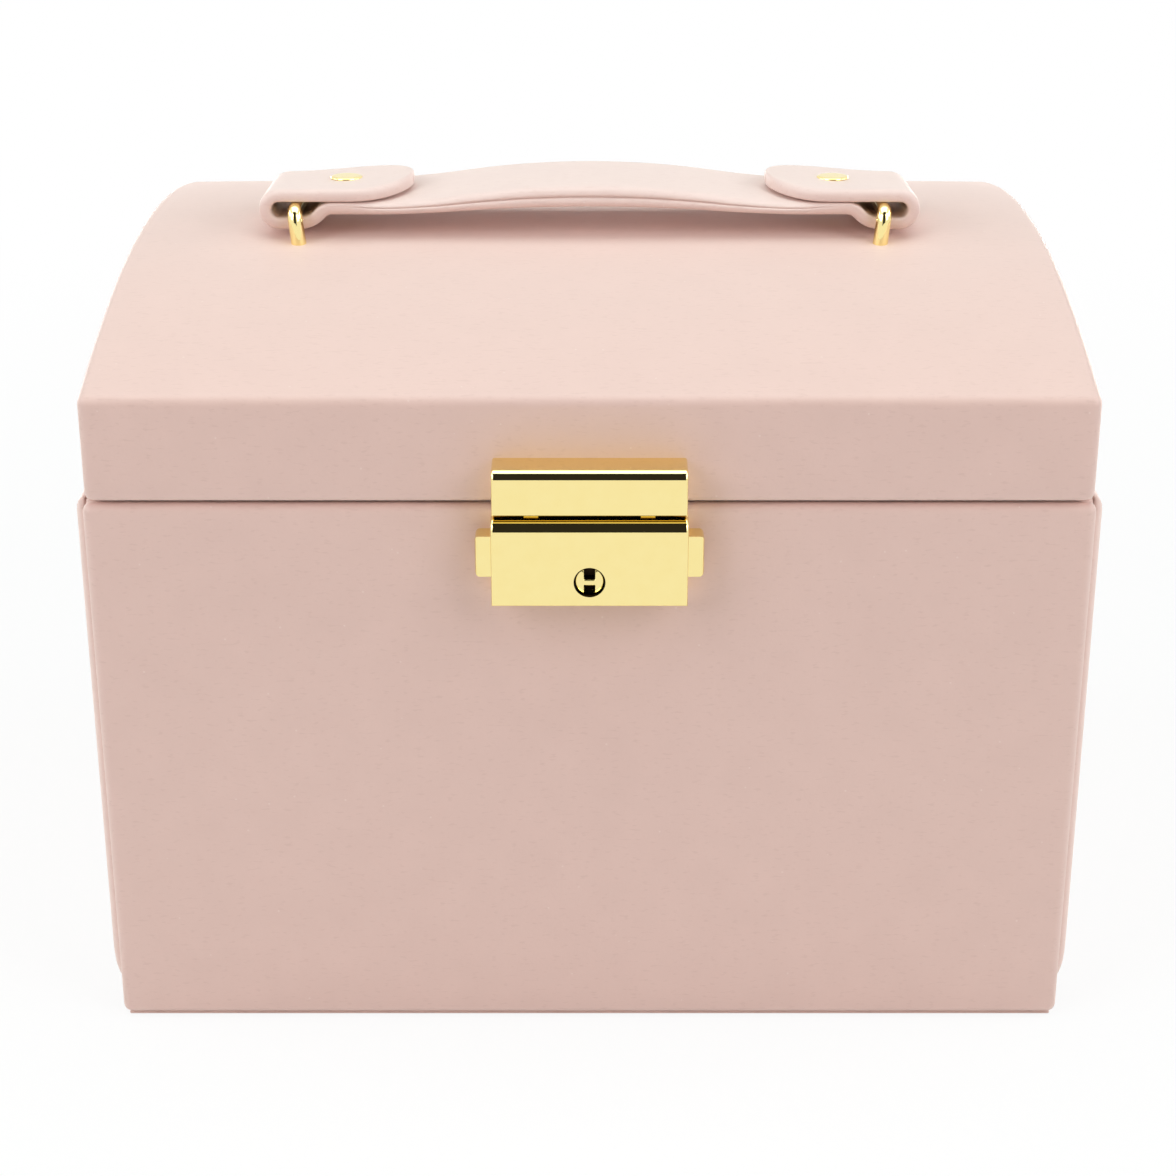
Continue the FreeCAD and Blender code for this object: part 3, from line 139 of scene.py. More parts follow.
# Leatherette: polyurethane coat on a woven backing, embossed with a very fine grain.
# To the eye: nearly plain, semi-matt, a wide soft highlight, faint clouding and a few tiny pale specks.
# Real grain and threads are about 0.2 mm, and are drawn coarser so that they show.
leatherLook = {"grainMm": 0.55, "threadMm": (1.8, 0.5, 0.5), "speckEveryMm": 4.0, "reliefMm": 0.12,
               "grainShare": 0.25, "weaveShare": 0.5, "roughLow": 0.44, "roughHigh": 0.54}


def leatherette(name, dark, light, speck, fleck, cloudMm=9.0):
    look = leatherLook
    material, tree, place, shader = newMaterial(name)
    cloud = noise(tree, place, cloudMm, 3.0, Roughness=0.55)
    grain = noise(tree, place, look["grainMm"], 2.0, Roughness=0.6)
    threads = [1 / (length * mm) for length in look["threadMm"]]
    along = addNode(tree, "ShaderNodeMapping", {"Scale": threads}, {"Vector": place})
    weave = addNode(tree, "ShaderNodeTexNoise", {"Scale": 1.0, "Detail": 1.0},
                    {"Vector": along.outputs["Vector"]}).outputs["Fac"]
    spots = addNode(tree, "ShaderNodeTexVoronoi", {"Scale": 1 / (look["speckEveryMm"] * mm)},
                    {"Vector": place})
    tint = multiplyAdd(tree, grain, look["grainShare"], cloud)
    plain = ramp(tree, tint, ((0.42, dark), (0.85, light)))
    specks = mapRange(tree, spots.outputs["Distance"], 0.055, 0.035, 0.0, 0.6)  # about 0.35 mm across
    dashes = mapRange(tree, weave, 0.4, 0.28, 0.0, 0.5)  # short, where a thread lies low
    colour = mixColour(tree, specks, mixColour(tree, dashes, plain, fleck), speck)
    tree.links.new(colour, shader.inputs["Base Color"])
    rough = mapRange(tree, cloud, 0.0, 1.0, look["roughLow"], look["roughHigh"])
    tree.links.new(rough, shader.inputs["Roughness"])
    relief = multiplyAdd(tree, weave, look["weaveShare"], grain)
    bumpFrom(tree, shader, relief, 0.16, look["reliefMm"] * mm)
    shader.inputs["IOR"].default_value = 1.48
    shader.inputs["Specular IOR Level"].default_value = 0.6
    shader.inputs["Sheen Weight"].default_value = 0.7  # soft-touch finish, whitish where it is seen edge on
    shader.inputs["Sheen Roughness"].default_value = 0.9
    shader.inputs["Sheen Tint"].default_value = linear("#FFF0E9")
    shader.inputs["Coat Weight"].default_value = 0.1
    shader.inputs["Coat Roughness"].default_value = 0.4
    return material


pinkLeatherette = leatherette("pinkLeatherette", "#DAB1A6", "#DEB5AA", "#EACDC4", "#CEA296")
strapLeatherette = leatherette("strapLeatherette", "#E7C8C0", "#EBCDC5", "#F2DDD7", "#DEBBB2", cloudMm=5.0)


# Velvet: short dense pile glued on card. To the eye: soft, no highlight, pale at grazing angles,
# with faint brushed patches where the nap lies another way.
def velvet(name, dark, light, napMm=14.0, pileMm=0.5, pileShare=0.6, reliefMm=0.2):
    material, tree, place, shader = newMaterial(name)
    nap = noise(tree, place, napMm, 3.0, Distortion=0.8)
    pile = noise(tree, place, pileMm, 2.0)
    both = multiplyAdd(tree, pile, pileShare, nap)
    tree.links.new(ramp(tree, both, ((0.5, dark), (1.1, light))), shader.inputs["Base Color"])
    bumpFrom(tree, shader, pile, 0.4, reliefMm * mm)
    shader.inputs["Roughness"].default_value = 0.95
    shader.inputs["Specular IOR Level"].default_value = 0.15
    shader.inputs["Sheen Weight"].default_value = 0.5
    shader.inputs["Sheen Roughness"].default_value = 0.4
    shader.inputs["Sheen Tint"].default_value = linear("#F6E4DD")
    return material


creamVelvet = velvet("creamVelvet", "#D9BFB5", "#E8D3CA")


# Polished metal: buffed before plating, so the reflection is sharp but runs in slow waves.
def polishedMetal(name, dark, light, roughLow, roughHigh, waveMm=7.0, waveMicrons=6.0, hazeMm=2.5):
    material, tree, place, shader = newMaterial(name)
    wave = noise(tree, place, waveMm, 1.0)
    haze = noise(tree, place, hazeMm, 3.0)
    tree.links.new(ramp(tree, haze, ((0.3, dark), (0.7, light))), shader.inputs["Base Color"])
    rough = mapRange(tree, haze, 0.0, 1.0, roughLow, roughHigh)
    tree.links.new(rough, shader.inputs["Roughness"])
    bumpFrom(tree, shader, wave, 0.5, waveMicrons * 1e-6)
    shader.inputs["Metallic"].default_value = 1.0
    return material


goldPlate = polishedMetal("goldPlate", "#F8E59F", "#F9E7A3", 0.04, 0.06)
zincPlate = polishedMetal("zincPlate", "#B9B8B4", "#C9C8C3", 0.26, 0.4, 3.0, 12.0)
# painted shade: dark metal for the keyway's notches and the plug's sides, where the real plug is only in
# shade
blackenedBrass = polishedMetal("blackenedBrass", "#2B2016", "#3A2B1D", 0.45, 0.6)
silveredGlass = polishedMetal("silveredGlass", "#E6E9EA", "#EEF0F0", 0.01, 0.025, 40.0, 0.5)


# Grey board: pressed waste paper, only seen under the lining.
def greyBoard(name, fibreMm=1.5):
    material, tree, place, shader = newMaterial(name)
    fibre = noise(tree, place, fibreMm, 4.0)
    colour = ramp(tree, fibre, ((0.3, "#8C7C69"), (0.7, "#A4937E")))
    tree.links.new(colour, shader.inputs["Base Color"])
    shader.inputs["Roughness"].default_value = 0.9
    return material


pressedBoard = greyBoard("pressedBoard")
print("materials made")


# mesh tools

def finishPiece(name, bm, materials, body, nodes=()):
    bmesh.ops.recalc_face_normals(bm, faces=bm.faces)
    mesh = bpy.data.meshes.new(name)
    bm.to_mesh(mesh)
    bm.free()
    for face in mesh.polygons:
        face.use_smooth = True
    for material in materials if isinstance(materials, tuple) else (materials,):
        mesh.materials.append(material)
    piece = bpy.data.objects.new(name, mesh)
    bpy.context.scene.collection.objects.link(piece)
    if nodes:
        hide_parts(*nodes)
    if body:
        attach(piece, body)
    return piece


def quads(bm, grid, closed=False):
    for first, second in zip(grid, grid[1:]):
        count = len(first)
        for j in range(count if closed else count - 1):
            k = (j + 1) % count
            corners = []
            for vert in (first[j], first[k], second[k], second[j]):
                if vert not in corners:
                    corners.append(vert)
            if len(corners) > 2:
                bm.faces.new(corners)


def roundedBoard(bm, low, high, radius, cell=4 * mm, steps=3):
    # a box with round edges and a fine grid, so that it can be bent or puffed a little
    radius = min([radius] + [(high[a] - low[a]) * 0.49 for a in range(3)])
    lines = []
    for a in range(3):
        near = [radius * (1 - math.tan(math.radians(45 * (1 - i / steps)))) for i in range(steps)]
        length = high[a] - low[a] - 2 * radius
        count = max(1, round(length / cell))
        middle = [low[a] + radius + length * i / count for i in range(count + 1)]
        lines.append([low[a] + n for n in near] + middle + [high[a] - n for n in reversed(near)])
    made = []
    for a in range(3):
        u, v = (a + 1) % 3, (a + 2) % 3
        for level in (low[a], high[a]):
            grid = []
            for p in lines[u]:
                row = []
                for q in lines[v]:
                    spot = Vector()
                    spot[a], spot[u], spot[v] = level, p, q
                    core = Vector([min(max(spot[b], low[b] + radius), high[b] - radius) for b in range(3)])
                    row.append(bm.verts.new(core + (spot - core).normalized() * radius))
                grid.append(row)
                made += row
            quads(bm, grid)
    bmesh.ops.remove_doubles(bm, verts=made, dist=1e-6)


def discFace(bm, radius, cells, place):
    # a square grid drawn out to a disc, each point put in its place; returns the rim
    grid = []
    for i in range(cells + 1):
        row = []
        for j in range(cells + 1):
            a, b = 2 * i / cells - 1, 2 * j / cells - 1
            x = radius * a * math.sqrt(1 - b * b / 2)
            y = radius * b * math.sqrt(1 - a * a / 2)
            row.append(bm.verts.new(place(x, y)))
        grid.append(row)
    quads(bm, grid)
    return grid[0][:-1] + [row[-1] for row in grid[:-1]] + grid[-1][:0:-1] + [row[0] for row in grid[:0:-1]]


def looseBoxes(node):
    # lowest and highest corner of each separate solid in a node
    bm = bmesh.new()
    bm.from_mesh(frame["nodes"][node].data)
    bmesh.ops.remove_doubles(bm, verts=bm.verts, dist=1e-6)
    waiting = set(bm.verts)
    boxes = []
    while waiting:
        todo = [waiting.pop()]
        solid = list(todo)
        while todo:
            for edge in todo.pop().link_edges:
                for vert in edge.verts:
                    if vert in waiting:
                        waiting.remove(vert)
                        todo.append(vert)
                        solid.append(vert)
        corners = [[pick(vert.co[a] for vert in solid) for a in range(3)] for pick in (min, max)]
        boxes.append([Vector(corner) for corner in corners])
    bm.free()
    return sorted(boxes, key=lambda box: tuple(box[0]))


def smooth(value, start, end):
    share = min(max((value - start) / (end - start), 0), 1)
    return share * share * (3 - 2 * share)


# body: boards wrapped in leatherette

bodyBoards = {"edgeMm": 1.6, "rimMm": 1.0, "baseMm": 0.25, "cellMm": 5.0}


def wrappedBoard(name, node, radiusMm, body="case", material=pinkLeatherette,
                 cellMm=bodyBoards["cellMm"]):
    low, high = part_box(node)
    bm = bmesh.new()
    roundedBoard(bm, low, high, radiusMm * mm, cellMm * mm)
    return finishPiece(name, bm, material, body, [node])


for name, node in (("frontPanelCover", "front_panel"), ("backPanelCover", "back_panel")):
    wrappedBoard(name, node, bodyBoards["edgeMm"])
for name, node in (("leftWallCover", "left_wall"), ("rightWallCover", "right_wall")):
    wrappedBoard(name, node, bodyBoards["rimMm"])
wrappedBoard("basePlateCover", "base_plate", bodyBoards["baseMm"])
print("body boards made")


# padded side covers: a thin foam pad under the leatherette, drawn tight at its edges

sidePads = {"cornerMm": 10.0, "edgeMm": 6.0, "steps": 8, "crowding": 1.6, "cellMm": 5.0}


def paddedSide(name, node, side):
    low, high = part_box(node)
    face, out = (high.x, low.x) if side < 0 else (low.x, high.x)
    corner, edge = sidePads["cornerMm"] * mm, sidePads["edgeMm"] * mm
    near = [corner * (i / sidePads["steps"]) ** sidePads["crowding"] for i in range(sidePads["steps"])]

    def stations(a, b):
        count = round((b - a - 2 * corner) / (sidePads["cellMm"] * mm))
        middle = [a + corner + (b - a - 2 * corner) * i / count for i in range(count + 1)]
        return [a + n for n in near] + middle + [b - n for n in reversed(near)]

    bm = bmesh.new()
    skin, back = [], []
    for y in stations(low.y, high.y):
        skinRow, backRow = [], []
        for z in stations(low.z, high.z):
            yIn = min(y - low.y, high.y - y)
            zIn = min(z - low.z, high.z - z)
            inset = min(yIn, zIn)
            spotY, spotZ = y, z
            if z - low.z < corner and yIn < corner:  # lower corners are round
                s, t = corner - yIn, corner - (z - low.z)
                reach = max(s, t)
                turn = math.pi / 4 * (min(s, t) / reach if reach else 0)
                across, down = math.cos(turn), math.sin(turn)
                if s < t:
                    across, down = down, across
                spotZ = low.z + corner - reach * down
                spotY = low.y + corner - reach * across if y < 0 else high.y - corner + reach * across
                inset = corner - reach
            rise = math.sqrt(1 - (1 - min(inset / edge, 1)) ** 2)
            skinRow.append(bm.verts.new((face + (out - face) * rise, spotY, spotZ)))
            backRow.append(bm.verts.new((face, spotY, spotZ)))
        skin.append(skinRow)
        back.append(backRow)
    quads(bm, skin)
    quads(bm, back)
    bmesh.ops.remove_doubles(bm, verts=bm.verts, dist=1e-6)
    pad = finishPiece(name, bm, pinkLeatherette, "case", [node])


paddedSide("leftSidePad", "left_side_cover", -1)
paddedSide("rightSidePad", "right_side_cover", 1)
print("side pads made")


# lid: one cover drawn over band, arch and ends

lidCover = {"edgeMm": 1.7, "creaseMm": 2.0, "boardMm": 3.0, "bandMm": 18.2, "rimMm": 1.1, "rimSteps": 6,
            "crownMm": 0.5, "crownPower": 8, "insideBandMm": 0.4, "insideCreaseMm": 1.5, "insideEdgeMm": 0.5,
            "xCells": 40, "bandCells": 6, "creaseCells": 8, "archCells": 40, "steps": 6}


def lidProfile(halfY, low, band, top, crease):
    # half of the outline from the front rim over the crease to the top, as points and outward normals
    rise = top - band
    radius = (halfY * halfY + rise * rise) / (2 * rise)
    middle = top - radius
    # the crease arc touches the band at y = -halfY and the arch from inside
    centreY = -halfY + crease
    centreZ = middle + math.sqrt((radius - crease) ** 2 - centreY ** 2)
    tilt = math.atan2(-centreY, centreZ - middle)  # arch angle at the touching point
    points = []
    for i in range(lidCover["bandCells"]):
        points.append((-halfY, low + (centreZ - low) * i / lidCover["bandCells"], -1.0, 0.0))
    for i in range(lidCover["creaseCells"]):
        turn = (math.pi / 2 - tilt) * i / lidCover["creaseCells"]
        points.append((centreY - crease * math.cos(turn), centreZ + crease * math.sin(turn),
                       -math.cos(turn), math.sin(turn)))
    for i in range(lidCover["archCells"] // 2 + 1):
        turn = tilt * (1 - i / (lidCover["archCells"] // 2))
        sine, cosine = math.sin(turn), math.cos(turn)
        points.append((-radius * sine, middle + radius * cosine, -sine, cosine))
    back = [(-y, z, -ny, nz) for y, z, ny, nz in points[-2::-1]]
    return points + back


def loaf(bm, halfX, profile, edge):
    # rings of the profile along X, drawn in at both ends, and a patch over each end; returns the rim loop
    steps = lidCover["steps"]
    rings = []
    for i in range(steps + 1):
        turn = math.pi / 2 * (1 - i / steps)
        rings.append((halfX - edge + edge * math.sin(turn), edge * (1 - math.cos(turn))))
    inner = [(halfX - edge) * (1 - 2 * i / lidCover["xCells"]) for i in range(1, lidCover["xCells"])]
    stations = rings + [(x, 0.0) for x in inner] + [(-x, inset) for x, inset in reversed(rings)]
    grid = []
    for x, inset in stations:
        grid.append([bm.verts.new((x, y - ny * inset, z - nz * inset)) for y, z, ny, nz in profile])
    quads(bm, grid)
    corner = lidCover["bandCells"] + lidCover["creaseCells"] // 2
    last = len(profile) - 1
    rim = []
    for ring in (grid[0], grid[-1]):
        front, top, rear = ring[:corner + 1], ring[corner:last - corner + 1], ring[last - corner:][::-1]
        patch = []
        for j in range(corner + 1):
            row = []
            v = j / corner
            for i in range(len(top)):
                if j == corner:
                    row.append(top[i])
                elif i == 0:
                    row.append(front[j])
                elif i == len(top) - 1:
                    row.append(rear[j])
                else:
                    u = i / (len(top) - 1)
                    floorSpot = front[0].co.lerp(rear[0].co, u)
                    spot = (floorSpot * (1 - v) + top[i].co * v + front[j].co * (1 - u) + rear[j].co * u
                            - front[0].co * (1 - u) * (1 - v) - rear[0].co * u * (1 - v)
                            - front[-1].co * (1 - u) * v - rear[-1].co * u * v)
                    row.append(bm.verts.new(spot))
            patch.append(row)
        quads(bm, patch)
        rim.append(patch[0])
    loop = [ring[0] for ring in grid]  # front rim from +X to -X
    loop += rim[1][1:]  # left end from front to back
    loop += [ring[-1] for ring in reversed(grid)][1:]
    loop += rim[0][::-1][1:-1]
    return loop


def lidShape():
    low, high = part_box("lid_left_end")[0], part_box("lid_right_end")[1]
    halfX, halfY = high.x, high.y
    rimRound, board = lidCover["rimMm"] * mm, lidCover["boardMm"] * mm
    band = low.z + lidCover["bandMm"] * mm
    bm = bmesh.new()
    outer = loaf(bm, halfX, lidProfile(halfY, low.z + rimRound, band, high.z, lidCover["creaseMm"] * mm),
                 lidCover["edgeMm"] * mm)
    outerVerts = list(bm.verts)
    insideBand = band - lidCover["insideBandMm"] * mm
    inside = lidProfile(halfY - board, low.z + rimRound, insideBand, high.z - board,
                        lidCover["insideCreaseMm"] * mm)
    inner = loaf(bm, halfX - board, inside, lidCover["insideEdgeMm"] * mm)
    rows = [outer]
    for i in range(1, lidCover["rimSteps"]):
        turn = math.pi * i / lidCover["rimSteps"]
        row = []
        for a, b in zip(outer, inner):
            middle, half = (a.co + b.co) / 2, (a.co - b.co) / 2
            drop = Vector((0, 0, rimRound * math.sin(turn)))
            row.append(bm.verts.new(middle + half * math.cos(turn) - drop))
        rows.append(row)
    rows.append(inner)
    quads(bm, rows, closed=True)
    for vert in outerVerts:  # the top is a little lower towards its ends
        lift = max(vert.co.z - band, 0) / (high.z - band)
        outward = (vert.co.x / halfX) ** lidCover["crownPower"]
        vert.co.z -= lidCover["crownMm"] * mm * outward * min(lift * 2, 1)
    finishPiece("lidCover", bm, pinkLeatherette, "lid",
                ["lid_shell", "lid_left_end", "lid_right_end"])


lidShape()
print("lid made")


# handle: a padded strap whose ends dip under the staples, fold back over them and are riveted

handleStrap = {
    "thickMm": 2.3, "middleMm": 3.9, "crownEndMm": 24.0, "bowEndMm": 42.0, "bowDropMm": 3.1,
    "dipStartMm": 47.2, "dipEndMm": 53.5, "reachMm": 56.9, "foldMm": 1.5, "plyGapMm": 0.2,
    "tipMm": 32.6, "tipRoundMm": 12.0, "tipFlatMm": 1.5, "curlMm": 0.6, "curlFromMm": 44.0,
    "padFromMm": 36.0, "padToMm": 46.0, "rollMm": 1.7, "grooveMm": 0.5, "domeMm": 0.3,  # padded middle
    "padInsetMm": 0.25, "seamMm": 0.05,
    "edgeMm": 0.5, "outerEdgeMm": 1.4, "lipMm": 1.0,  # bare ends, and the lip under the pad
    "leanMm": 1.8, "leanFromMm": 30.0, "leanToMm": 58.0,  # the ends lean back on the lid
}
strapSteps = {"bow": 36, "dip": 8, "floor": 3, "fold": 16, "tab": 8, "tip": 16, "corner": 5, "across": 10}
strap = {key: value * mm for key, value in handleStrap.items()}
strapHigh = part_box("handle_strap")[1]
strapHalf = strapHigh.y
strapLevel = strapHigh.z - strap["bowDropMm"]  # top of the level run beside the rivets
tabOver = strapLevel + strap["plyGapMm"] + strap["thickMm"]


def lean(x, y):
    # how far the strap lies lower towards its rear edge
    share = smooth(abs(x), strap["leanFromMm"], strap["leanToMm"])
    return strap["leanMm"] * share * (y + strapHalf) / (2 * strapHalf)


def turned(centre, angle, radius):
    return Vector((centre[0] + radius * math.cos(angle), centre[1] + radius * math.sin(angle)))


def bowSine(drop):
    return 2 * strap["bowEndMm"] * drop / (strap["bowEndMm"] ** 2 + drop ** 2)


def bowFall(x, drop):
    # how far the bow lies under its crown: a round arc that runs into a hollow one
    if x <= strap["crownEndMm"]:
        radius = strap["crownEndMm"] / bowSine(drop)
        return radius - math.sqrt(radius ** 2 - x ** 2)
    radius = (strap["bowEndMm"] - strap["crownEndMm"]) / bowSine(drop)
    return drop - radius + math.sqrt(radius ** 2 - max(strap["bowEndMm"] - x, 0) ** 2)


def strapStations():
    # right half of the strap from the middle to the tip of its tab
    # each is an inner point, an outer point and a share of padding
    # (inner is the side that the staple touches, and on the bow the top)
    thick, fold, reach = strap["thickMm"], strap["foldMm"], strap["reachMm"]
    top, level = strapHigh.z, strapLevel
    hollowFloor = level + strap["plyGapMm"] - 2 * fold
    underDrop = strap["bowDropMm"] + thick - strap["middleMm"]
    stations = []
    for i in range(strapSteps["bow"] + 1):
        x = strap["dipStartMm"] * i / strapSteps["bow"]
        stations.append((Vector((x, top - bowFall(x, strap["bowDropMm"]))),
                         Vector((x, top - strap["middleMm"] - bowFall(x, underDrop))),
                         1 - smooth(x, strap["padFromMm"], strap["padToMm"])))
    across, drop = strap["dipEndMm"] - strap["dipStartMm"], level - hollowFloor
    radius = (across ** 2 + drop ** 2) / (4 * drop)
    swing = math.asin(across / (2 * radius))
    for i in range(1, strapSteps["dip"] + 1):
        turn = math.pi / 2 - swing * i / strapSteps["dip"]
        centre = (strap["dipStartMm"], level - radius)
        stations.append((turned(centre, turn, radius), turned(centre, turn, radius - thick), 0.0))
    for i in range(1, strapSteps["dip"] + 1):
        turn = -math.pi / 2 - swing * (1 - i / strapSteps["dip"])
        centre = (strap["dipEndMm"], hollowFloor + radius)
        stations.append((turned(centre, turn, radius), turned(centre, turn, radius + thick), 0.0))
    for i in range(1, strapSteps["floor"] + 1):
        x = strap["dipEndMm"] + (reach - strap["dipEndMm"]) * i / strapSteps["floor"]
        stations.append((Vector((x, hollowFloor)), Vector((x, hollowFloor - thick)), 0.0))
    for i in range(1, strapSteps["fold"] + 1):
        turn = -math.pi / 2 + math.pi * i / strapSteps["fold"]
        centre = (reach, hollowFloor + fold)
        stations.append((turned(centre, turn, fold), turned(centre, turn, fold + thick), 0.0))
    for i in range(1, strapSteps["tab"] + 1):
        x = reach + (strap["bowEndMm"] - reach) * i / strapSteps["tab"]
        stations.append((Vector((x, tabOver - thick)), Vector((x, tabOver)), 0.0))
    hollow = (strap["bowEndMm"] - strap["crownEndMm"]) / bowSine(strap["bowDropMm"])
    tabRadius = hollow - strap["plyGapMm"]
    for i in range(1, strapSteps["tip"] + 1):  # closer together towards the tip
        share = math.sin(math.pi / 2 * i / strapSteps["tip"])
        x = strap["bowEndMm"] - (strap["bowEndMm"] - strap["tipMm"]) * share
        turn = -math.pi / 2 - math.asin((strap["bowEndMm"] - x) / tabRadius)
        centre = (strap["bowEndMm"], level + hollow)
        stations.append((turned(centre, turn, tabRadius), turned(centre, turn, tabRadius - thick), 0.0))
    return stations


def quarter(count, cornerX, cornerH, reachX, reachH):
    # round corner from its flat side to its upright side
    spots = []
    for i in range(count + 1):
        turn = math.pi / 2 * i / count
        spots.append((cornerX - reachX * (1 - math.sin(turn)), cornerH - reachH * (1 - math.cos(turn))))
    return spots


def strapSide(width, thick, padding):
    # one side of the section from its inner to its outer face, as (across, height over the outer face)
    edge, outer, steps = strap["edgeMm"], strap["outerEdgeMm"], strapSteps["corner"]
    middle = thick / 2
    bare = quarter(steps, width, thick, edge, edge)
    bare += [(width, outer + (thick - edge - outer) * share) for share in (0.75, 0.5, 0.25)]
    bare += [(x, -h) for x, h in reversed(quarter(steps, width, 0, outer, outer))]
    # padded: the upper ply rolls down to a groove, and the lower ply stands out under it
    roll, groove = strap["rollMm"], strap["grooveMm"]
    full = quarter(steps, width - strap["padInsetMm"], thick, roll, thick - middle - strap["seamMm"])
    lip = strap["lipMm"]
    grooveX = width - strap["padInsetMm"] - groove
    full += [(grooveX + (width - grooveX) * math.sin(turn), lip + (middle - lip) * math.cos(turn))
             for turn in (0.0, math.pi / 6, math.pi / 3)]
    full += [(x, -h) for x, h in reversed(quarter(steps, width, 0, lip, lip))]
    return [(a[0] + (b[0] - a[0]) * padding, a[1] + (b[1] - a[1]) * padding) for a, b in zip(bare, full)]


def strapSection(width, thick, padding):
    side = strapSide(width, thick, padding)
    rows = strapSteps["across"]
    lowEnd, topEnd = side[-1], side[0]
    lowRow = [(lowEnd[0] * (1 - 2 * i / rows), lowEnd[1]) for i in range(1, rows)]
    topRow = [(-topEnd[0] * (1 - 2 * i / rows), topEnd[1]) for i in range(1, rows)]
    section = side + lowRow + [(-x, h) for x, h in reversed(side)] + topRow
    dome = strap["domeMm"] * padding
    return [(x, h - dome * (x / width) ** 2 * max(h / thick - 0.5, 0) * 2) for x, h in section]


def strapShape():
    half = strapStations()
    mirrored = [(Vector((-a.x, a.y)), Vector((-b.x, b.y)), padding) for a, b, padding in reversed(half[1:])]
    bm = bmesh.new()
    rings = []
    stations = mirrored + half
    tabCount = strapSteps["tab"] + strapSteps["tip"]
    tip, edge = strap["tipRoundMm"], strap["edgeMm"]
    for i, (inner, outer, padding) in enumerate(stations):
        onTab = i < tabCount or i >= len(stations) - tabCount
        away = abs(inner.x) - strap["tipMm"] if onTab else tip
        width = strapHalf
        if away < tip:
            width = max(strapHalf * math.sqrt(max(1 - (1 - away / tip) ** 2, 0)), strap["tipFlatMm"])
        curl = 0.0
        if onTab:
            past = max(strap["curlFromMm"] - abs(inner.x), 0) / (strap["curlFromMm"] - strap["tipMm"])
            curl = strap["curlMm"] * past * past
        pinch = 0.0
        if away < edge:  # the tip's own edge is round too
            pinch = edge - math.sqrt(edge * edge - (edge - away) ** 2)
        thick = (inner - outer).length
        way = (inner - outer) / thick
        ring = []
        for across, height in strapSection(width, thick, padding):
            height = min(max(height, pinch), thick - pinch)
            spot = outer + way * height
            ring.append(bm.verts.new((spot.x, across, spot.y + curl - lean(spot.x, across))))
        rings.append(ring)
    quads(bm, rings, closed=True)
    for ring in (rings[0], rings[-1]):
        bm.faces.new(ring)
    finishPiece("handleStrap", bm, strapLeatherette, "lid", ["handle_strap"])


strapShape()

staples = {"bendMm": 1.8, "splayMm": 0.6, "spreadMm": 0.6, "footMm": 2.2, "bendSteps": 8, "sides": 24}


def stapleWire(name, node):
    # round wire bent twice, its bar leaning with the strap
    low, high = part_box(node)
    x, radius = (low.x + high.x) / 2, (high.x - low.x) / 2
    leg, bar = high.y - radius, high.z - radius
    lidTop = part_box("lid_shell")[1].z
    bend = staples["bendMm"] * mm

    def barAt(y):
        return Vector((y, bar - lean(x, y)))

    spread, foot = staples["spreadMm"] * mm, lidTop - staples["footMm"] * mm
    feet = [Vector((-leg - spread, foot)), Vector((leg + spread, foot))]  # just inside the lid board
    down = [(feet[i] - barAt(end)).normalized() * bend for i, end in enumerate((-leg, leg))]
    path = [Vector((-leg, low.z)), feet[0]]
    for corner, before, after in ((barAt(-leg), down[0], barAt(-leg + bend) - barAt(-leg)),
                                  (barAt(leg), barAt(leg - bend) - barAt(leg), down[1])):
        for i in range(staples["bendSteps"] + 1):
            turn = math.pi / 2 * i / staples["bendSteps"]
            path.append(corner + before * (1 - math.sin(turn)) + after * (1 - math.cos(turn)))
    path += [feet[1], Vector((leg, low.z))]
    bm = bmesh.new()
    rings = []
    for i, spot in enumerate(path):
        ahead = (path[min(i + 1, len(path) - 1)] - path[max(i - 1, 0)]).normalized()
        ring = []
        for j in range(staples["sides"]):
            turn = 2 * math.pi * j / staples["sides"]
            out = Vector((-ahead.y, ahead.x)) * radius * math.sin(turn)
            splay = math.copysign(staples["splayMm"] * mm, x) * ((spot.y - lidTop) / (bar - lidTop) - 0.5)
            ring.append(bm.verts.new((x + splay + radius * math.cos(turn), spot.x + out.x, spot.y + out.y)))
        rings.append(ring)
    quads(bm, rings, closed=True)
    for ring in (rings[0], rings[-1]):
        bm.faces.new(ring)
    finishPiece(name, bm, goldPlate, "lid", [node])


stapleWire("leftStapleWire", "left_staple")
stapleWire("rightStapleWire", "right_staple")

rivets = {"reachMm": 45.3, "capMm": 3.0, "capRiseMm": 0.5, "shankMm": 1.1, "footMm": 2.0, "footRiseMm": 0.6,
          "footEdgeMm": 0.1, "sides": 32}


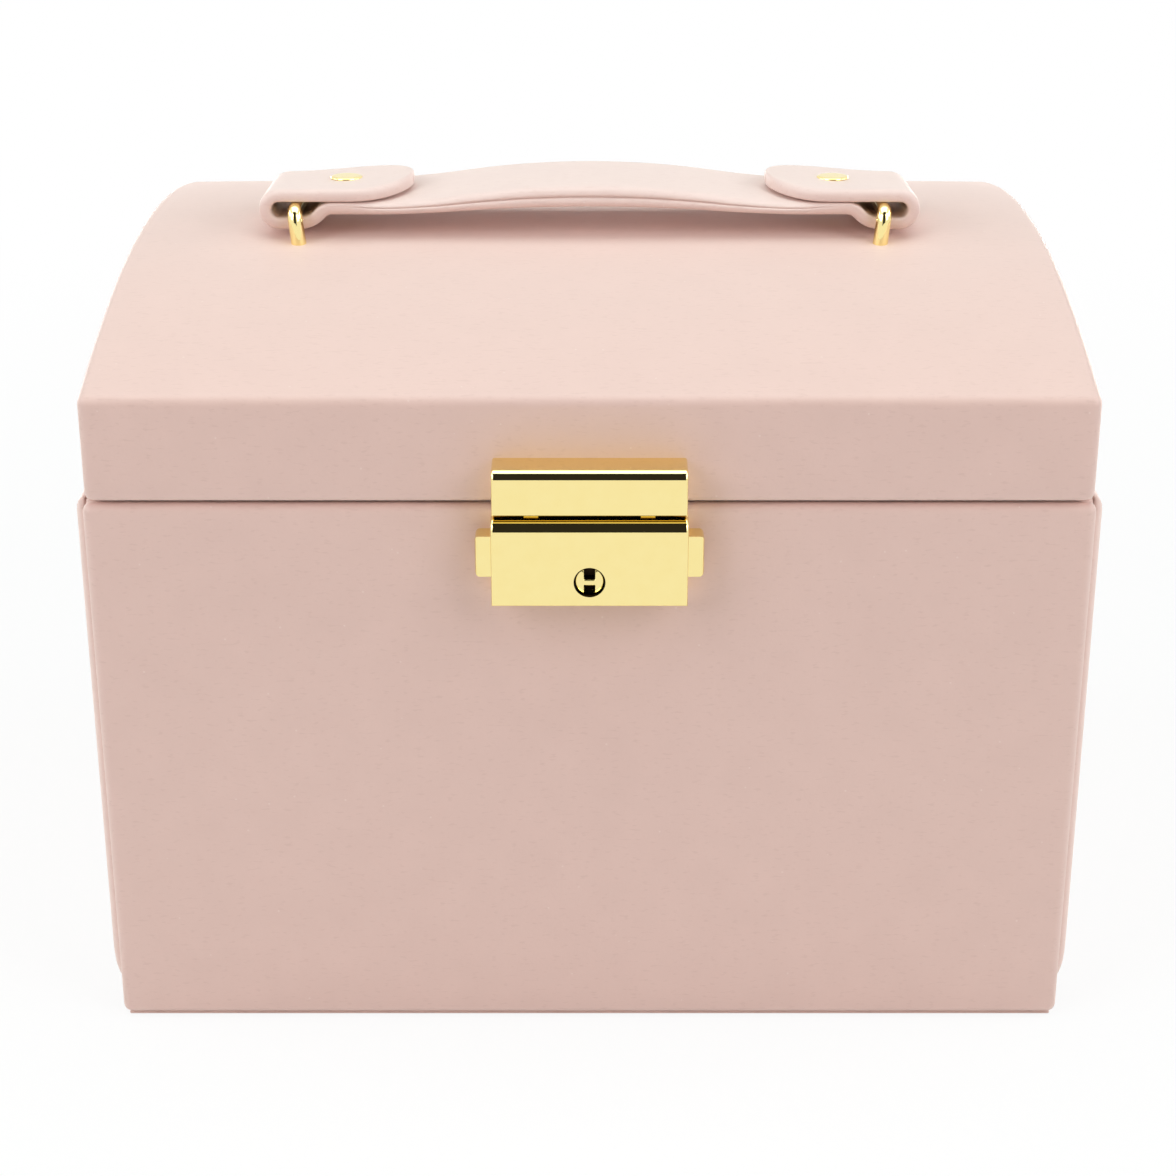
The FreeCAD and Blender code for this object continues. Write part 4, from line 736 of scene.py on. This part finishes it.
def rivetShapes():
    # a low domed cap on the tab, a shank through all plies and a flat foot under the strap
    r = {key: value * mm for key, value in rivets.items()}
    depth = 2 * strap["thickMm"] + strap["plyGapMm"]
    cap, rise, shank, foot = r["capMm"], r["capRiseMm"], r["shankMm"], r["footMm"]
    profile = [(cap * share, rise * (1 - 0.1 * share * share)) for share in (0.0, 0.25, 0.5, 0.7)]
    profile += [(cap * (0.8 + 0.2 * math.sin(turn)), rise * 0.92 * math.cos(turn) ** 0.7)
                for turn in (0.2, 0.5, 0.8, 1.1, 1.35)]
    profile += [(cap, 0.0), (shank, 0.0), (shank, -depth), (foot * 0.97, -depth),
                (foot, -depth - r["footEdgeMm"]), (foot * 0.9, -depth - r["footRiseMm"]),
                (0.0, -depth - r["footRiseMm"])]
    slope = math.atan(lean(r["reachMm"], strapHalf) / (2 * strapHalf))
    tilt = Matrix.Rotation(-slope, 3, "X")
    bm = bmesh.new()
    for side in (-1, 1):
        x = side * r["reachMm"]
        seat = Vector((x, 0, tabOver - lean(x, 0)))
        rings = []
        for radius, height in profile:
            if radius == 0:
                middle = bm.verts.new(seat + tilt @ Vector((0, 0, height)))
                rings.append([middle] * rivets["sides"])
                continue
            ring = []
            for j in range(rivets["sides"]):
                turn = 2 * math.pi * j / rivets["sides"]
                flat = Vector((radius * math.cos(turn), radius * math.sin(turn), height))
                ring.append(bm.verts.new(seat + tilt @ flat))
            rings.append(ring)
        quads(bm, rings, closed=True)
    finishPiece("strapRivets", bm, goldPlate, "lid", ["handle_rivets"])


rivetShapes()
print("handle made")


# key plug: a domed face with two notches for a forked key, and a gap round it; notches and gap are darkened
# with painted shade

keyPlug = {"gapMm": 0.32, "flangeMm": 0.4, "slotMm": 1.7, "barMm": 1.1, "barDropMm": 0.15, "slotDepthMm": 1.8,
           "domeMm": 0.32, "bevelMm": 0.12, "paintedShadeDepthMm": 0.75, "cells": 56}


def keyPlugShape():
    low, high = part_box("key_plug")
    k = {key: value * mm for key, value in keyPlug.items()}
    middleZ = (low.z + high.z) / 2
    radius = (high.x - low.x) / 2 - k["flangeMm"] - k["gapMm"]

    def spot(x, z):
        inSlot = 1 - smooth(abs(x), k["slotMm"] / 2 - k["bevelMm"], k["slotMm"] / 2 + k["bevelMm"])
        offBar = smooth(abs(z + k["barDropMm"]), k["barMm"] / 2 - k["bevelMm"], k["barMm"] / 2 + k["bevelMm"])
        sunk = k["domeMm"] * (x * x + z * z) / radius ** 2 + k["slotDepthMm"] * inSlot * offBar
        return Vector((x, low.y + sunk, middleZ + z))

    bm = bmesh.new()
    rim = discFace(bm, radius, keyPlug["cells"], spot)
    rear = [bm.verts.new((vert.co.x, high.y, vert.co.z)) for vert in rim]
    quads(bm, [rim, rear], closed=True)
    bm.faces.new(rear)
    for face in bm.faces:  # faces deeper than this, in the notches and on the sides, get painted shade, a dark metal standing in for shade
        if max(vert.co.y for vert in face.verts) > low.y + k["paintedShadeDepthMm"]:
            face.material_index = 1
    finishPiece("keyPlugFace", bm, (goldPlate, blackenedBrass), "key_plug", ["key_plug"])


keyPlugShape()
print("key plug made")


# hinge screws: domed heads with a slot, each turned its own way

hingeScrews = {"headMm": 0.7, "domeMm": 0.3, "slotMm": 0.5, "slotDepthMm": 0.36, "bevelMm": 0.08,
               "shankMm": 0.8, "turnDeg": 52, "cells": 32}


def screwHeads(name, node, body):
    s = {key: value * mm for key, value in hingeScrews.items()}
    bm = bmesh.new()
    for n, (low, high) in enumerate(looseBoxes(node)):
        middle, radius = (low + high) / 2, (high.x - low.x) / 2
        turn = math.radians(hingeScrews["turnDeg"] * n)

        def spot(x, z):
            across = abs(x * math.cos(turn) + z * math.sin(turn))
            inSlot = 1 - smooth(across, s["slotMm"] / 2 - s["bevelMm"], s["slotMm"] / 2 + s["bevelMm"])
            drop = s["domeMm"] * (x * x + z * z) / radius ** 2 + s["slotDepthMm"] * inSlot
            return Vector((middle.x + x, high.y - drop, middle.z + z))

        rim = discFace(bm, radius, hingeScrews["cells"], spot)
        rows = [rim]
        for share, y in ((1.0, high.y - s["headMm"]), (s["shankMm"] / radius, high.y - s["headMm"]),
                         (s["shankMm"] / radius, low.y)):
            rows.append([bm.verts.new((middle.x + (vert.co.x - middle.x) * share, y,
                                       middle.z + (vert.co.z - middle.z) * share)) for vert in rim])
        quads(bm, rows, closed=True)
        bm.faces.new(rows[-1])
    finishPiece(name, bm, goldPlate, body, [node])


screwHeads("caseHingeScrewHeads", "case_hinge_screws", "case")
screwHeads("lidHingeScrewHeads", "lid_hinge_screws", "lid")
print("hinge screws made")


# spring between the tabs, drawn as two halves that coil out from its middle

tabSpring = {"wireMm": 0.25, "turns": 6, "stepsInTurn": 20, "sides": 10}


def springHalf(name, side):
    low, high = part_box("tab_spring")
    middle = (low + high) / 2
    wire = tabSpring["wireMm"] * mm
    radius, reach = (high.z - low.z) / 2 - wire, (high.x - low.x) / 2 - wire
    steps = tabSpring["stepsInTurn"] * tabSpring["turns"] // 2
    bm = bmesh.new()
    rings = []
    for i in range(steps + 1):
        turn = side * math.pi * tabSpring["turns"] * i / steps
        out = Vector((0, math.cos(turn), math.sin(turn)))
        ahead = Vector((reach / (math.pi * tabSpring["turns"]), -radius * math.sin(turn),
                        radius * math.cos(turn)))
        up = ahead.normalized().cross(out)
        centre = middle + Vector((side * reach * i / steps, 0, 0)) + out * radius
        ring = []
        for j in range(tabSpring["sides"]):
            around = 2 * math.pi * j / tabSpring["sides"]
            ring.append(bm.verts.new(centre + (out * math.cos(around) + up * math.sin(around)) * wire))
        rings.append(ring)
    quads(bm, rings, closed=True)
    for ring in (rings[0], rings[-1]):
        bm.faces.new(ring)
    coil = finishPiece(name, bm, zincPlate, None, ["tab_spring"])
    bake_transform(coil)


springHalf("leftSpringHalf", -1)
springHalf("rightSpringHalf", 1)
print("tab spring made")


# velvet lining and tray

velvetBoards = {"liningRoundMm": 0.45, "trayRoundMm": 0.9, "panelRoundMm": 1.1, "dividerMm": 1.6}
mirrorGlass = {"roundMm": 0.3, "cellMm": 20.0}
for node in ("floor_liner", "front_liner", "back_liner", "left_liner", "right_liner"):
    wrappedBoard("velvet_" + node, node, velvetBoards["liningRoundMm"], "case", creamVelvet)
for node in ("tray_floor", "tray_front", "tray_back", "tray_left_end", "tray_right_end", "tray_long_divider"):
    wrappedBoard("velvet_" + node, node, velvetBoards["trayRoundMm"], "tray", creamVelvet)
crossLow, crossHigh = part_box("tray_cross_dividers")
bm = bmesh.new()
for left, right in ((crossLow.x, crossLow.x + velvetBoards["dividerMm"] * mm),
                    (crossHigh.x - velvetBoards["dividerMm"] * mm, crossHigh.x)):
    roundedBoard(bm, Vector((left, crossLow.y, crossLow.z)), Vector((right, crossHigh.y, crossHigh.z)),
                 velvetBoards["trayRoundMm"] * mm)
finishPiece("velvet_tray_cross_dividers", bm, creamVelvet, "tray", ["tray_cross_dividers"])
wrappedBoard("velvet_lid_panel", "lid_panel", velvetBoards["panelRoundMm"], "lid", creamVelvet)
wrappedBoard("mirrorPlate", "mirror_glass", mirrorGlass["roundMm"], "lid", silveredGlass,
             mirrorGlass["cellMm"])
print("lining, tray and mirror made")


# CAD nodes that are right as they are get their finish here

finishes = {
    "gilt": (goldPlate, ("lock_case", "hasp", "left_tab", "right_tab", "left_case_leaf", "right_case_leaf",
                         "left_lid_leaf", "right_lid_leaf", "hinge_pins", "mirror_frame")),
    "board": (pressedBoard, ("floor_board",)),
    "steel": (zincPlate, ("left_pivot_bracket", "right_pivot_bracket", "left_rear_arm", "left_front_arm",
                          "right_rear_arm", "right_front_arm", "left_lid_link", "right_lid_link",
                          "left_link_stud", "right_link_stud", "tray_pivots", "lock_back_plate",
                          "lock_screws", "hasp_screws", "staple_rings")),
}
for material, nodes in finishes.values():
    for node in nodes:
        for place in frame["nodes"][node].material_slots:
            place.material = material
print("CAD nodes finished")


# floor, light and camera

floorLook = {"sizeM": 30.0, "white": "#F4F3F2", "shadowShare": 0.13, "fadeFromM": 0.16, "fadeToM": 0.5}


def paleFloor():
    bm = bmesh.new()
    bmesh.ops.create_grid(bm, x_segments=8, y_segments=8, size=floorLook["sizeM"])
    mesh = bpy.data.meshes.new("paleFloor")
    bm.to_mesh(mesh)
    bm.free()
    floor = bpy.data.objects.new("paleFloor", mesh)
    bpy.context.scene.collection.objects.link(floor)
    material = bpy.data.materials.new("whitePaper")  # seamless paper, matt and evenly white
    material.use_nodes = True
    tree = material.node_tree
    tree.nodes.clear()
    paper = addNode(tree, "ShaderNodeBsdfDiffuse", {"Color": linear(floorLook["white"])})
    glow = addNode(tree, "ShaderNodeEmission", {"Color": (1, 1, 1, 1), "Strength": 1.0})
    rays = addNode(tree, "ShaderNodeLightPath")
    seen = mathPair(tree, "MAXIMUM", rays.outputs["Is Camera Ray"], rays.outputs["Is Glossy Ray"])
    seen = mathPair(tree, "MAXIMUM", seen, rays.outputs["Is Transmission Ray"])
    place = addNode(tree, "ShaderNodeTexCoord").outputs["Object"]
    away = addNode(tree, "ShaderNodeVectorMath", {"operation": "LENGTH"}, {0: place}).outputs["Value"]
    clear = mapRange(tree, away, floorLook["fadeFromM"], floorLook["fadeToM"],
                     1 - floorLook["shadowShare"], 1.0, "SMOOTHSTEP")
    share = mathPair(tree, "MULTIPLY", clear, seen)
    mixed = addNode(tree, "ShaderNodeMixShader",
                    links={"Fac": share, 1: paper.outputs["BSDF"], 2: glow.outputs["Emission"]})
    addNode(tree, "ShaderNodeOutputMaterial", links={"Surface": mixed.outputs["Shader"]})
    mesh.materials.append(material)


paleFloor()

softBoxes = {
    "overhead": {"at": (0.0, 0.05, 1.15), "towards": (0.0, 0.0, 0.08), "size": (1.4, 0.8), "watts": 8.6,
                 "tint": "#EEFFFD"},
    "left": {"at": (-1.05, 0.05, 0.6), "towards": (0.0, 0.0, 0.08), "size": (0.7, 0.4), "watts": 2.8},
    "right": {"at": (1.05, 0.05, 0.6), "towards": (0.0, 0.0, 0.08), "size": (0.7, 0.4), "watts": 2.8},
    "frontLeft": {"at": (-0.75, -0.65, 0.68), "towards": (0.0, 0.0, 0.08), "size": (0.6, 0.8), "watts": 4.7},
    "frontRight": {"at": (0.75, -0.65, 0.68), "towards": (0.0, 0.0, 0.08), "size": (0.6, 0.8), "watts": 4.7},
    "backLeft": {"at": (-0.6, 0.85, 0.06), "towards": (0.0, 0.0, 0.06), "size": (0.7, 0.11), "watts": 3.0},
    "backRight": {"at": (0.6, 0.85, 0.06), "towards": (0.0, 0.0, 0.06), "size": (0.7, 0.11), "watts": 3.0},
}
for name, box in softBoxes.items():
    lamp = bpy.data.lights.new(name + "SoftBox", "AREA")
    lamp.shape = "RECTANGLE"
    lamp.size, lamp.size_y = box["size"]
    lamp.energy = box["watts"]
    lamp.color = linear(box.get("tint", "#FFFFFF"))[:3]
    holder = bpy.data.objects.new(name + "SoftBox", lamp)
    holder.location = box["at"]
    holder.rotation_euler = (Vector(box["towards"]) - Vector(box["at"])).to_track_quat("-Z", "Y").to_euler()
    bpy.context.scene.collection.objects.link(holder)

# the last four are parts of the direction that is looked in, towards -Y and to both sides
roomLight = {"backdrop": "#FFFFFF", "pale": "#3A3938", "dark": "#2E2C2A",
             "frontFrom": 0.08, "frontTo": -0.12, "gapFrom": 0.45, "gapTo": 0.2}


def studioRoom():
    # white walls that light little, and a dark gap between them where the camera stands
    world = bpy.data.worlds.new("studioRoom")
    bpy.context.scene.world = world
    world.use_nodes = True
    tree = world.node_tree
    tree.nodes.clear()
    place = addNode(tree, "ShaderNodeTexCoord").outputs["Generated"]
    way = addNode(tree, "ShaderNodeSeparateXYZ", links={0: place})
    front = mapRange(tree, way.outputs["Y"], roomLight["frontFrom"], roomLight["frontTo"], 0.0, 1.0,
                     "SMOOTHSTEP")
    aside = addNode(tree, "ShaderNodeMath", {"operation": "ABSOLUTE"}, {0: way.outputs["X"]}).outputs[0]
    narrow = mapRange(tree, aside, roomLight["gapFrom"], roomLight["gapTo"], 0.0, 1.0, "SMOOTHSTEP")
    gap = mathPair(tree, "MULTIPLY", narrow, front)
    rays = addNode(tree, "ShaderNodeLightPath")
    mirrored = mathPair(tree, "MAXIMUM", rays.outputs["Is Glossy Ray"], rays.outputs["Is Transmission Ray"])
    walls = addNode(tree, "ShaderNodeMix", {"data_type": "RGBA", 6: linear(roomLight["pale"]),
                                            7: linear(roomLight["backdrop"])}, {"Factor": mirrored})
    around = mixColour(tree, gap, walls.outputs[2], roomLight["dark"])
    shown = mixColour(tree, rays.outputs["Is Camera Ray"], around, roomLight["backdrop"])
    glow = addNode(tree, "ShaderNodeBackground", {"Strength": 1.0}, {"Color": shown})
    addNode(tree, "ShaderNodeOutputWorld", links={"Surface": glow.outputs["Background"]})


studioRoom()

cameraSetting = {"at": (0.0, -0.4704, 0.2578), "pitchDeg": 23.37, "lensMm": 78.67, "sensorMm": 36.0,
                 "shiftX": -0.0013}
lensData = bpy.data.cameras.new("studioCamera")
lensData.lens = cameraSetting["lensMm"]
lensData.sensor_width = cameraSetting["sensorMm"]
lensData.shift_x = cameraSetting["shiftX"]
camera = bpy.data.objects.new("studioCamera", lensData)
camera.location = cameraSetting["at"]
camera.rotation_euler = (math.radians(90 - cameraSetting["pitchDeg"]), 0, 0)
bpy.context.scene.collection.objects.link(camera)
bpy.context.scene.camera = camera
bpy.context.scene.view_settings.view_transform = "Standard"
print("stage, light and camera set")
